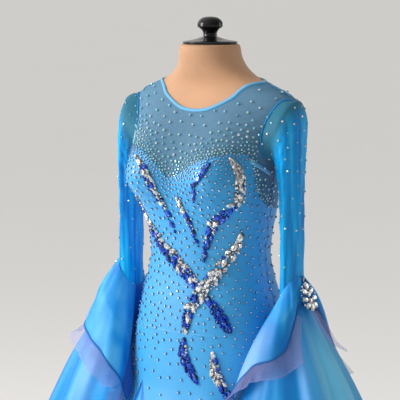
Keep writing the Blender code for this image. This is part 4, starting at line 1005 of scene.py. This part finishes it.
def make_sleeve(side, name):
    places = armhole_ring()
    ring = [figure_out(d, z, YOKE_OUT) for d, z in places]
    centre = sum(ring, Vector()) / len(ring)
    first = [p + (centre - p).normalized() * 0.0006 for p in ring]
    rows = []
    for step in range(SLEEVE_STEPS + 1):
        down = step / SLEEVE_STEPS
        top_x, top_z, under_x, under_z, centre_y, half_depth = through(SLEEVE, down)
        top, under = Vector((top_x, centre_y, top_z)), Vector((under_x, centre_y, under_z))
        middle, half = (top + under) / 2, (top - under) / 2
        line = []
        for k in range(len(ring)):
            turn = 2 * pi * k / len(ring)
            fold = sleeve_fold(turn, down, side) if 0 < step < SLEEVE_STEPS else 0.0
            away = Vector((cos(turn) / 2.2, -sin(turn), 0.0)).normalized()
            line.append(middle + half * cos(turn)
                        + Vector((0.0, -half_depth * sin(turn), 0.0)) + away * fold)
        rows.append(line)
    cap = []
    for share in CAP_SHARES:
        line = [p.lerp(start, share) for p, start in zip(first, rows[0])]
        cap.append([p + (p - centre).normalized() * (0.0022 * sin(pi * share)) for p in line])
    made = grid_object(f"cloth_sleeve_{name}", [first] + cap + rows, "sleeve", "mesh",
                       f"sleeve_{name}", side=side, closed=True)
    tape = [[], [], []]
    for p, (d, z) in zip(ring, places):
        out = figure_normal(d, z)
        inward = centre - p
        inward = (inward - out * inward.dot(out)).normalized()
        for line, move in zip(tape, (inward * -0.0022, out * 0.0006, inward * 0.0022)):
            line.append(p + out * 0.0012 + move)
    binding = grid_object(f"armhole_seam_{name}", tape, "seam", "mesh", side=side, closed=True,
                          solid=0.0005)


# ---------------------------------------------------------------- floats

FALL_STEPS = 34
FALL_COLUMNS = 160
WRAP_COLUMNS = 120
WRAP_STEPS = 22
TAPE_WIDTH = 0.0042


def fall_point(turn, drop, side):
    """The long float's surface, with its folds softly pinched at their crests."""
    cx, cy, rx, ry, fold = fall_section(drop, turn)
    angle = radians(turn)
    phase = radians(FALL_FOLDS * turn + 25.0) + 0.5 * sin(2 * angle)
    weight = 0.6 + 0.4 * cos(angle)
    ripples = (fold * cos(phase) * weight, -0.22 * fold * cos(2 * phase) * weight,
               0.10 * fold * sin(3 * phase + 5 * drop + side),
               0.0012 * sin(13 * drop + 2 * turn * 0.0174 + side))
    rx, ry = sum(ripples, rx), sum(ripples, ry)
    top = elbow_ring(turn).z - ELBOW_GAP / 2
    hem = FALL_HEM_Z + 0.008 * sin(radians(FALL_FOLDS * turn))
    point = Vector((cx + rx * cos(angle), cy - ry * sin(angle), top + drop * (hem - top)))
    return beside_the_skirt(point, FALL_CLEAR)


def make_fall(side, name):
    grid = [[fall_point(360.0 * k / FALL_COLUMNS, (r / FALL_STEPS) ** 1.15, side)
             for k in range(FALL_COLUMNS)] for r in range(FALL_STEPS + 1)]
    made = grid_object(f"cloth_fall_{name}", grid, f"fall_{name}", "organza",
                       f"float_fall_{name}", side=side, closed=True)
    hem = [[p + Vector((0.0, 0.0, lift)) for p in grid[-1]] for lift in (-0.0008, 0.0035)]
    tape = grid_object(f"fall_hem_tape_{name}", hem, "tape", "organza", side=side, closed=True,
                       solid=0.0014)


def make_wrap(side, name):
    """The wrap float, its dark tape and its braid."""
    columns = [k / WRAP_COLUMNS for k in range(WRAP_COLUMNS + 1)]
    rows = []
    for r in range(WRAP_STEPS + 1):
        share = r / WRAP_STEPS
        line = []
        for along in columns:
            p = wrap_point(name, along, share)
            ripple = (sin(along * 46 + 1.5 * sin(share * 3 + side)) + 0.6 * sin(along * 83 + side))
            line.append(p + outward(p, ARM_X, ARM_Y)
                        * (0.0016 * ripple * share * (1.2 - 0.2 * share)))
        rows.append(line)
    made = grid_object(f"cloth_wrap_{name}", rows, f"wrap_{name}", "organza",
                       f"float_wrap_{name}", side=side)
    hem, inner = rows[-1], rows[-2]
    band, tape = [], []
    for k, along in enumerate(columns):
        along_hem = (hem[min(k + 1, WRAP_COLUMNS)] - hem[max(k - 1, 0)]).normalized()
        fall_line = hem[k] - inner[k]
        fall_line -= along_hem * fall_line.dot(along_hem)
        fall_line.normalize()
        out = outward(hem[k], ARM_X, ARM_Y)
        face_out = along_hem.cross(fall_line).normalized()
        if face_out.dot(out) < 0:
            face_out = -face_out
        tape.append([hem[k] + fall_line * TAPE_WIDTH * reach + face_out * lift
                     for reach, lift in ((-0.5, 0.0009), (0.0, 0.0012), (0.5, 0.0009))])
        if not CRIN_STARTS <= along <= CRIN_ENDS:
            continue
        direction = (fall_line + out * 0.45).normalized()
        flutter = 0.0045 * sin(along * 58 + side) + 0.002 * sin(along * 131)
        line = [hem[k] + direction * 0.001]
        for share in (0.25, 0.5, 0.75, 1.0):
            edge = hem[k] + direction * (crin_width(along) * share + 0.001)
            line.append(settle(edge + face_out * flutter * share ** 1.5, wrap_hem(name, along)[0]))
        band.append(line)
    braid = columns_object(f"cloth_crin_{name}", band, "crin", "horsehair",
                           f"crin_band_{name}", side=side)
    edging = columns_object(f"wrap_hem_tape_{name}", tape, "tape", "organza", side=side,
                            solid=0.0006)


def make_tail(side, name):
    lines = []
    for k in range(41):
        *middle, twist = through(TAIL, k / 40)
        twist = radians(twist)
        across = Vector((0.35 * sin(twist), cos(twist), sin(twist)))
        offsets = [r / 6 - 0.5 for r in range(7)]
        lines.append([Vector(middle) + across * TAIL_WIDTH * offset
                      + Vector((0.0, 0.0, 0.0014 * (1 - 4 * offset * offset)))
                      for offset in offsets])
    made = columns_object(f"cloth_crin_tail_{name}", lines, "crin", "horsehair",
                          f"crin_tail_{name}", side=side)


# ---------------------------------------------------------------- skirt

GORE_SEAM = ((-1.8, 0.00045), (-0.9, 0.00068), (0.0, 0.00078), (0.9, 0.00068),
             (1.8, 0.00045))          # angle and lift of a seam strip's lines

# The hip seam's soft fold and its stitched line, by rows: height from the seam, least
# distance from the form, and lift from the skirt.
HIP_STRIPS = (
    ("hip_seam_fold", "crepe", ((0.0042, 0.0027, 0.0), (0.0020, 0.0033, 0.0),
                                (0.0, 0.0036, 0.0007), (-0.0022, 0.0026, 0.00075),
                                (-0.0050, 0.0008, 0.0005))),
    ("hip_seam", "stitch", ((0.0004, 0.0041, 0.0), (0.0, 0.0040, 0.0010),
                            (-0.0004, 0.0030, 0.0009))),
)


def skirt_fine(angle, z):
    """The skirt's surface, slightly uneven towards its hem."""
    point = skirt_point(angle, z)
    low = clamped((0.74 - z) * 3.0)
    return point + outward(point) * low * 0.0035 * noise.noise(point * 6.0)


def lifted(angle, z, lift):
    p = skirt_fine(angle, z)
    return p + outward(p) * lift


def hip_point(angle, rise, lift, over):
    """A point of the hip seam's strips, on the bodice or on the skirt."""
    if rise > 0:
        return figure_out(angle, HIP_SEAM + rise, lift)
    top, p = figure_out(angle, HIP_SEAM, 0.0), skirt_point(angle, HIP_SEAM + rise)
    out = outward(p)
    reach = max(p.dot(out) + over, top.dot(out) + lift)
    return Vector((out.x * reach, out.y * reach, p.z))


def make_godet(seam, heights):
    top = GODET_TOPS[seam]
    heights = ([top - 0.001 - 0.008 * k / 4 for k in range(4)]
               + [z for z in heights if z < top - 0.0095])
    grid = []
    for z in heights:
        half = max(godet_half_angle(seam, z) - skirt_degrees(SEAM_GAP, z), 0.02)
        line = []
        for k in range(17):
            across = 2 * k / 16 - 1
            deep = 0.012 * min(1.0, (top - z) * 2.5) * cos(pi * across * 1.5)
            line.append(lifted(seam_angle(seam) + half * across, z, deep * (1 - across * across)))
        grid.append(line)
    for side, name in SIDES:
        fold = [[lifted(seam_angle(seam) + side * godet_half_angle(seam, z)
                        + k * skirt_degrees(0.0022, z), z, -0.0012) for z in heights]
                for k in (-1, 0, 1)]
        grid_object(f"godet_seam_{name}_{seam + 1}", fold, "crepe", "crepe")
    made = grid_object(f"cloth_godet_{seam + 1}", grid, "godet", "organza",
                       f"skirt_godet_{seam + 1}")


def make_skirt():
    heights = [HIP_SEAM, HIP_SEAM - 0.0010] + fine(SKIRT_ROWS, 5)[1:]
    top = HIP_SEAM - 0.0008
    for seam, low in enumerate(GODET_TOPS):
        grid = [[lifted(seam_angle(seam) + reach, top + (low - top) * k / 30, lift)
                 for k in range(31)] for reach, lift in GORE_SEAM]
        grid_object(f"gore_seam_{seam + 1}", grid, "crepe", "crepe")
    for gore in range(len(GORE_SEAMS)):
        grid = [[skirt_fine(gore_angle(gore, share, z), z - SEAM_GAP)
                 for share in near_edges(30)] for z in heights]
        made = grid_object(f"cloth_gore_{gore + 1}", grid, "crepe", "crepe",
                           f"skirt_gore_{gore + 1}", solid=0.0012)
    for seam in range(len(GORE_SEAMS)):
        make_godet(seam, heights)
    for name, look, rows in HIP_STRIPS:
        grid = [[hip_point(d, *row) for d in AROUND] for row in rows]
        grid_object(name, grid, look, "crepe", closed=True)


# ---------------------------------------------------------------- stones

Tint = namedtuple("Tint", "red green blue dark")

# Stone colours; dark is how bright the deepest facets stay under the painted shade on their facets.
CLEAR = Tint(1.00, 1.00, 1.00, 0.06)
SAPPHIRE = Tint(0.000, 0.080, 0.80, 0.02)
MOON_HIGHLIGHT = Tint(0.72, 0.88, 1.00, 0.0)
ICE = Tint(0.62, 0.92, 1.00, 0.02)
AQUA = Tint(0.30, 0.80, 0.98, 0.02)
AURORA = (ICE, AQUA, Tint(0.14, 0.58, 0.78, 0.02), Tint(0.45, 0.90, 0.86, 0.02))
DUSK = (Tint(0.16, 0.28, 0.55, 0.0), Tint(0.20, 0.36, 0.66, 0.0),
        Tint(0.08, 0.20, 0.52, 0.0), Tint(0.10, 0.26, 0.50, 0.0))
# Painted reflections: tints that some facets get as glints.
SKY_FLASH = Tint(0.45, 0.75, 1.0, 0.0)
SAPPHIRE_FLASHES = (Tint(0.10, 0.36, 1.0, 0.0), Tint(0.002, 0.012, 0.16, 0.02), SKY_FLASH)
CLEAR_FLASHES = (Tint(0.75, 0.60, 0.45, 0.0), Tint(0.30, 0.65, 0.50, 0.0), SKY_FLASH)

SMALL_HIGH = 0.42            # a small round stone's height to its width
STONE_SEAT = 0.0033          # stones on the bodice and yoke stand off the form by this
SKIRT_SEAT = 0.0011


def painted_glints(tint):
    """Painted glints: now and then a facet is painted with a flash of reflected light, a lighter
    blue, a green or a warm one.
    """
    if tint is SAPPHIRE and random.random() < 0.30:
        return random.choice(SAPPHIRE_FLASHES)
    if tint is CLEAR and random.random() < 0.10:
        return random.choice(CLEAR_FLASHES)
    return tint


class Stones:
    """Gathers faceted stones into one mesh."""

    def __init__(self):
        self.points, self.faces, self.colours = [], [], []

    def add(self, seat, out, along, length, width, high, tint, sides=8, sharp=1.0,
            table=0.52, depth=1.0, crown=None):
        """One flat-backed stone. Sharp above 1 points its ends, as on a marquise.

        Depth says how dark the painted shade on its facets is, and the last argument, if given,
        tints the painted highlight on its table."""
        across = out.cross(along).normalized()
        along = across.cross(out).normalized()
        base = len(self.points)
        for scale, lift, half in ((0.97, 0.0, 0.0), (1.0, 0.22 * high, 0.0),
                                  (table, high, 0.5 if sides > 7 else 0.0)):
            for k in range(sides):
                turn = 2 * pi * (k + half) / sides
                waist = math.copysign(abs(sin(turn)) ** sharp, sin(turn))
                self.points.append(seat + along * (length / 2 * scale * cos(turn))
                                   + across * (width / 2 * scale * waist) + out * lift)
        girdle, top = base + sides, base + 2 * sides
        # Painted shade and painted reflections: the facets towards one random side are darkened,
        # the girdle's walls darkest, and the others get a random brightness.
        shade = random.uniform(0, 2 * pi)
        for k in range(sides):
            after = (k + 1) % sides
            dark = cos(2 * pi * (k + 0.5) / sides - shade) > 0.35
            self.face((base + k, base + after, girdle + after, girdle + k), tint, 0.0)
            self.face((girdle + k, girdle + after, top + k), tint,
                      1.0 - 0.88 * depth if dark else random.uniform(0.45, 1.0))
            self.face((girdle + after, top + after, top + k), tint,
                      1.0 - random.uniform(0.7, 1.0) * depth if dark
                      else random.uniform(0.6, 1.0))
        # Its table gets a painted highlight in its own tint, or else the stone's tint with painted
        # glints.
        middle = len(self.points)
        self.points.append(seat + out * high)
        for k in range(sides):
            self.face((top + k, top + (k + 1) % sides, middle), crown or painted_glints(tint),
                      random.choice((1.0 - 0.8 * depth, 0.6, 1.0, 1.0)))

    def face(self, corners, tint, bright):
        bright = tint.dark + (1 - tint.dark) * bright
        self.faces.append(corners)
        self.colours += [(tint.red * bright, tint.green * bright, tint.blue * bright,
                          1.0)] * len(corners)

    def build(self, name, *nodes, look="stones"):
        made = mesh_object(name, self.points, self.faces, look, smooth=False)
        layer = made.data.color_attributes.new("facet", "FLOAT_COLOR", "CORNER")
        for corner, colour in zip(layer.data, self.colours):
            corner.color = colour
        on_root(made, "crystal", *nodes)


def on_cloth(angle, z):
    """A seat on the gown's front: its point and its outward direction."""
    if z >= HIP_SEAM:
        out = figure_normal(angle, z)
        return figure_point(angle, z) + out * STONE_SEAT, out
    turn = skirt_fine(angle + 0.6, z) - skirt_fine(angle - 0.6, z)
    rise = skirt_fine(angle, z + 0.002) - skirt_fine(angle, z - 0.002)
    out = turn.cross(rise).normalized()
    return skirt_fine(angle, z) + out * SKIRT_SEAT, out


def aside(angle, z, across):
    """Angle and height after a small move along the surface."""
    turn = figure_point(angle + 0.5, z) - figure_point(angle - 0.5, z)
    rise = (figure_point(angle, z + 0.001) - figure_point(angle, z - 0.001)) / 0.002
    a, b, c = turn.dot(turn), turn.dot(rise), rise.dot(rise)
    p, q = across.dot(turn), across.dot(rise)
    spare = a * c - b * b
    return angle + (p * c - q * b) / spare, z + (a * q - b * p) / spare


# ---------------------------------------------------------------- sprays

# The sizes of a spray's stones, largest first: tries, length, width, and the room that
# each keeps round itself. Those longer than BIG_STONE are cut as marquises or ovals.
SPRAY_STONES = ((120, 0.0185, 0.0115, 0.0066), (220, 0.0145, 0.0094, 0.0051),
                (500, 0.0080, 0.0068, 0.0030), (1300, 0.0046, 0.0046, 0.0018))
BIG_STONE = 0.007
WIDE_STROKE = 0.011          # a wider half stroke has larger first stones
OVER_THE_END = 1.10          # the sprays cross at the right waist's end


def stroke_place(path, share):
    """Angle and height on a stroke; past its end it runs straight on."""
    if share <= 1.0:
        return through(path, share)
    (end_d, end_z), (d, z) = through(path, 1.0), through(path, 0.95)
    return (end_d + (end_d - d) * (share - 1) / 0.05, end_z + (end_z - z) * (share - 1) / 0.05)


def stroke_width(stroke, share):
    return stroke.half_width * (0.34 + 0.72 * sin(pi * share) ** 0.6)


def make_spray(stroke):
    """Marquise and oval stones packed along a stroke, small ones in the gaps."""
    stones = Stones()
    lane = [on_cloth(*stroke_place(stroke.path, k / 80))[0] for k in range(81)]
    total = sum((after - before).length for before, after in zip(lane, lane[1:]))
    reaches = OVER_THE_END if stroke.name == "spray_right_waist" else 1.0
    placed = []

    def room(share, across, reach):
        return all(math.hypot(share * total - x, (across - y) * 1.25) > (reach + r)
                   for x, y, r in placed)

    for row, (tries, *sizes) in enumerate(SPRAY_STONES):
        scale = 1.14 if row == 0 and stroke.half_width > WIDE_STROKE else 1.0
        long, wide, reach = (size * scale for size in sizes)
        big = long > BIG_STONE
        for _ in range(tries):
            share = random.uniform(0.0, reaches)
            half = stroke_width(stroke, min(1.0, share / reaches))
            across = random.uniform(-1.0, 1.0) * max(0.0, half - wide * 0.40)
            if half < wide * 0.45 or not room(share, across, reach):
                continue
            placed.append((share * total, across, reach))
            angle, z = stroke_place(stroke.path, share)
            ahead, _ = on_cloth(*stroke_place(stroke.path, min(reaches, share + 0.02)))
            behind, _ = on_cloth(*stroke_place(stroke.path, max(0.0, share - 0.02)))
            along = (ahead - behind).normalized()
            side = along.cross(on_cloth(angle, z)[1]).normalized()
            seat, face_out = on_cloth(*aside(angle, z, side * across))
            lean = 0.8 * across / max(half, 0.004) + random.uniform(-0.35, 0.35)
            blue = (stroke.blue_start + (stroke.blue_end - stroke.blue_start) * share
                    - stroke.lean * across / half)
            tint = SAPPHIRE if random.random() < blue else CLEAR
            sharp = random.choice((1.0, 1.6, 1.6)) if big else 1.0
            size = random.uniform(0.94, 1.06)
            stones.add(seat + face_out * (0.0006 if big else 0.0), face_out,
                       along * cos(lean) + side * sin(lean), long * size, wide * size,
                       0.0040 if big else 0.0026, tint, 10 if big else 8, sharp, 0.58)
    stones.build(f"stones_{stroke.name}", stroke.name)


# ---------------------------------------------------------------- small stones

CELL = 0.012                 # the grid in which near neighbours are looked up
LANE_CLEAR = 0.0035          # small stones keep this far from a spray's edge
LOW_STONES, HIGH_STONES = 0.40, 1.40
ARM_LOW, ARM_HIGH = 1.232, 1.372


def spacing(angle, z):
    """Distance wanted between the small stones at a place of the gown."""
    side = abs((angle + 180) % 360 - 180)
    gap = z - sweetheart((angle + 180) % 360 - 180)
    if side > 92:
        return 0.028 if gap > 0 else 0.024
    if z < HIP_SEAM:
        return 0.0150 + 0.050 * min(1.0, (HIP_SEAM - z) / 0.45)
    if gap > 0:
        return 0.0052 + 0.0180 * min(1.0, gap / 0.075) ** 1.3
    if side > 60:
        return 0.0150
    return 0.0060 + 0.0078 * clamped((-gap - 0.010) / 0.050)


def at_the_armhole(side, z, low, top):
    """Whether a place above the bodice's edge lies in the armhole or close to it."""
    lean = table_row(ARMHOLE_LEAN, z)[0]
    near = FRONT_ARMHOLE - lean - 3 < side < BACK_ARMHOLE + lean + 3
    share = (z - low) / max(0.01, top - low)
    return z > low and side > 60 and near and (ARM_LOW < z < ARM_HIGH or share > 0.97)


def scatter_stones():
    """Small round stones all over the gown, closest along the sweetheart edge."""
    lanes = [(on_cloth(*stroke_place(stroke.path, k / 32))[0],
              stroke_width(stroke, k / 32) + LANE_CLEAR) for stroke in SPRAYS
             for k in range(33)]
    taken = {}

    def cell(point):
        return tuple(int(math.floor(v / CELL)) for v in point)

    def free(point, gap):
        reach = range(-math.ceil(gap / CELL), math.ceil(gap / CELL) + 1)
        x, y, z = cell(point)
        return all((other - point).length >= min(gap, wanted) * 0.92
                   for i in reach for j in reach for k in reach
                   for other, wanted in taken.get((x + i, y + j, z + k), ()))

    groups = {"front": Stones(), "back": Stones()}
    for _ in range(90000):
        angle = random.uniform(-180, 180)
        z = random.uniform(LOW_STONES, HIGH_STONES)
        if random.random() < 0.55:
            angle = random.uniform(-75, 75)
            z = sweetheart(angle) + random.gauss(0.008, 0.030)
        if z < 0.46 and random.random() < 0.5:
            continue
        low, top = sweetheart(angle), neckline(angle) - 0.012
        if z > top or at_the_armhole(abs(angle), z, low, top):
            continue
        gap = spacing(angle, z)
        seat, out = on_cloth(angle, z)
        if not free(seat, gap) or any((seat - place).length < clear for place, clear in lanes):
            continue
        taken.setdefault(cell(seat), []).append((seat, gap))
        size = random.uniform(0.9, 1.1) * (0.0042 if gap < 0.010 else 0.0054)
        above = z > low
        tint = random.choice(AURORA + (ICE, AQUA) if above else DUSK)
        way = Vector((random.random(), random.random(), random.random()))
        # Stones on the crepe get a pale painted highlight on their tables.
        groups["front" if abs(angle) < 95 else "back"].add(
            seat, out, way, size, size, size * SMALL_HIGH, tint, 7,
            table=0.52 if above else 0.62, depth=0.35 if above else 0.7,
            crown=None if above else MOON_HIGHLIGHT)
    for name, group in groups.items():
        group.build(f"rhinestones_{name}", look="rhinestones")


def sleeve_stones(side, name):
    """Sparse stones all round a sleeve."""
    stones = Stones()
    faces = list(bpy.data.objects[f"cloth_sleeve_{name}"].data.polygons)
    kept = []
    for _ in range(2600):
        face = faces[random.randrange(len(faces))]
        seat = face.center.copy()
        gap = 0.021 if seat.z > 1.10 else 0.026
        if seat.z > 1.365 or any((seat - other).length < gap for other in kept):
            continue
        kept.append(seat)
        out = face.normal.copy()
        if out.dot(outward(seat, side * ARM_X, ARM_Y)) < 0:
            out = -out
        size = random.uniform(0.0042, 0.0050)
        stones.add(seat + out * 0.0002, out, Vector((0.1, 0.2, 1.0)), size, size,
                   size * SMALL_HIGH, random.choice(AURORA + (CLEAR,)), 7, depth=0.5)
    stones.build(f"rhinestones_sleeve_{name}", look="rhinestones")


# ---------------------------------------------------------------- brooches

# A brooch's petals: place across and up, angle, length. Its round backing: share of its
# radii, and lift.
PETALS = ((0.0, 0.0212, 90, 0.0180), (-0.0090, 0.0110, 122, 0.0165),
          (0.0090, 0.0110, 58, 0.0165), (-0.0122, -0.0040, 150, 0.0165),
          (0.0122, -0.0040, 30, 0.0165), (-0.0095, -0.0170, 222, 0.0165),
          (0.0095, -0.0170, 318, 0.0165), (0.0, -0.0205, 270, 0.0180),
          (0.0, 0.0050, 90, 0.0130), (0.0, -0.0080, 90, 0.0120))
BACKING = ((0.0, 0.0022), (0.6, 0.0024), (0.93, 0.0020), (1.0, 0.0010), (1.0, 0.0002), (0.9, 0.0))
BROOCH_SEAT = Vector((0.2394, -0.016, 0.9837))


def make_brooch(side, name):
    """Marquise stones laid as a leaf rosette on a dark backing."""
    facing, tilt = radians(9.0), radians(22.0)
    across = Vector((sin(facing), cos(facing), 0.0))
    out = (Vector((cos(facing), -sin(facing), 0.0)) * cos(tilt) + Vector((0.0, 0.0, sin(tilt))))
    up = across.cross(out) * -1.0
    stones = Stones()

    def turned_to(start, a, b, c):
        p = start + across * a + up * b + out * c
        return Vector((side * p.x, p.y, p.z))

    def place(a, b, lift):
        return turned_to(BROOCH_SEAT, a, b, lift)

    def way(a, b, c):
        return turned_to(Vector(), a, b, c).normalized()

    def rim(turn, radius_a, radius_b, lift):
        return place(radius_a * cos(turn), radius_b * sin(turn), lift)

    face_out = way(0, 0, 1)
    for a, b, turn, long in PETALS:
        stones.add(place(a, b, 0.0026), face_out,
                   way(cos(radians(turn)), sin(radians(turn)), 0.10), long, long * 0.58,
                   0.0050, CLEAR, 12, 1.3 if long > 0.0135 else 1.0, depth=0.7)
    for k in range(16):
        stones.add(rim(2 * pi * (k + 0.5) / 16, 0.0195, 0.0262, 0.0016), face_out,
                   way(0, 1, 0), 0.0040, 0.0040, 0.0020, CLEAR if k % 2 else ICE)
    stones.build(f"brooch_stones_{name}", f"brooch_{name}")
    rows = [[rim(2 * pi * k / 48, 0.0190 * reach, 0.0270 * reach, lift) for k in range(48)]
            for reach, lift in BACKING]
    grid_object(f"brooch_backing_{name}", rows, "tape", "crystal", closed=True)


# ---------------------------------------------------------------- floor, light, camera

FLOOR_SIZE = 400.0
ROOM = ((0.0, (0.05, 0.05, 0.055)), (0.5, (0.40, 0.395, 0.39)), (1.0, (1.22, 1.21, 1.19)))
ROOM_STRENGTH = 1.05
BRIGHT_SIDE = (-0.86, -0.40, 0.32)

# Lamps: name, place, target, size, power, colour.
LAMPS = (
    ("window", (-2.4, -2.3, 2.2), (0.0, 0.0, 1.15), (1.4, 2.0), 106.0, (1.0, 0.985, 0.965)),
    ("rim", (2.0, 2.2, 2.0), (0.0, 0.0, 1.1), (1.0, 1.8), 12.0, (1.0, 1.0, 1.0)),
)
PHOTO_WIDTH, SENSOR = 400, 36.0
FOCAL_POINTS = 1600          # the photo's focal length in picture points
CAMERA_FAR, CAMERA_ASIDE, CAMERA_HIGH, CAMERA_DOWN = 3.2, -0.0247, 1.58, 7.6


def place_object(made, spot, aim):
    made.location = spot
    made.rotation_euler = aim.to_track_quat("-Z", "Y").to_euler()
    bpy.context.scene.collection.objects.link(made)


def make_floor():
    spots = (-FLOOR_SIZE, 0.0, FLOOR_SIZE)
    grid_object("floor", [[Vector((x, y, 0.0)) for x in spots] for y in spots], "floor")


def make_light():
    """Bright room light that falls off toward the viewer's right, and a soft window."""
    scene = bpy.context.scene
    scene.view_settings.view_transform = "Standard"
    scene.world = bpy.data.worlds.new("studio")
    scene.world.use_nodes = True
    room = scene.world.node_tree.nodes["Background"]
    place = add(room, "TexCoord", {}).outputs["Generated"]
    turn = add(room, "VectorMath", {0: place, 1: BRIGHT_SIDE}, operation="DOT_PRODUCT")
    shift = add(room, "Math", {0: turn.outputs["Value"], 1: 0.5, 2: 0.5}, operation="MULTIPLY_ADD")
    feed(room, {"Color": ramp(shift.outputs["Value"], *ROOM), "Strength": ROOM_STRENGTH})
    for name, spot, target, size, power, colour in LAMPS:
        light = bpy.data.lights.new(name, "AREA")
        light.shape = "RECTANGLE"
        light.size, light.size_y = size
        light.energy = power
        light.color = colour
        place_object(bpy.data.objects.new(name, light), spot, Vector(target) - Vector(spot))


def make_camera():
    across, toward = Vector((0.809, 0.588, 0.0)), Vector((0.588, -0.809, 0.0))
    data = bpy.data.cameras.new("camera")
    data.sensor_width = SENSOR
    data.lens = FOCAL_POINTS / PHOTO_WIDTH * SENSOR
    camera = bpy.data.objects.new("camera", data)
    down = radians(CAMERA_DOWN)
    place_object(camera, toward * CAMERA_FAR + across * CAMERA_ASIDE
                 + Vector((0.0, 0.0, CAMERA_HIGH)),
                 -toward * cos(down) + Vector((0.0, 0.0, -sin(down))))
    bpy.context.scene.camera = camera


# ---------------------------------------------------------------- the whole scene

make_form()
make_stand()
make_upper()
for SIDE, NAME in SIDES:
    make_sleeve(SIDE, NAME)
    make_fall(SIDE, NAME)
    make_wrap(SIDE, NAME)
    make_tail(SIDE, NAME)
make_skirt()
for STROKE in SPRAYS:
    make_spray(STROKE)
scatter_stones()
for SIDE, NAME in SIDES:
    sleeve_stones(SIDE, NAME)
    make_brooch(SIDE, NAME)
make_floor()
make_light()
make_camera()
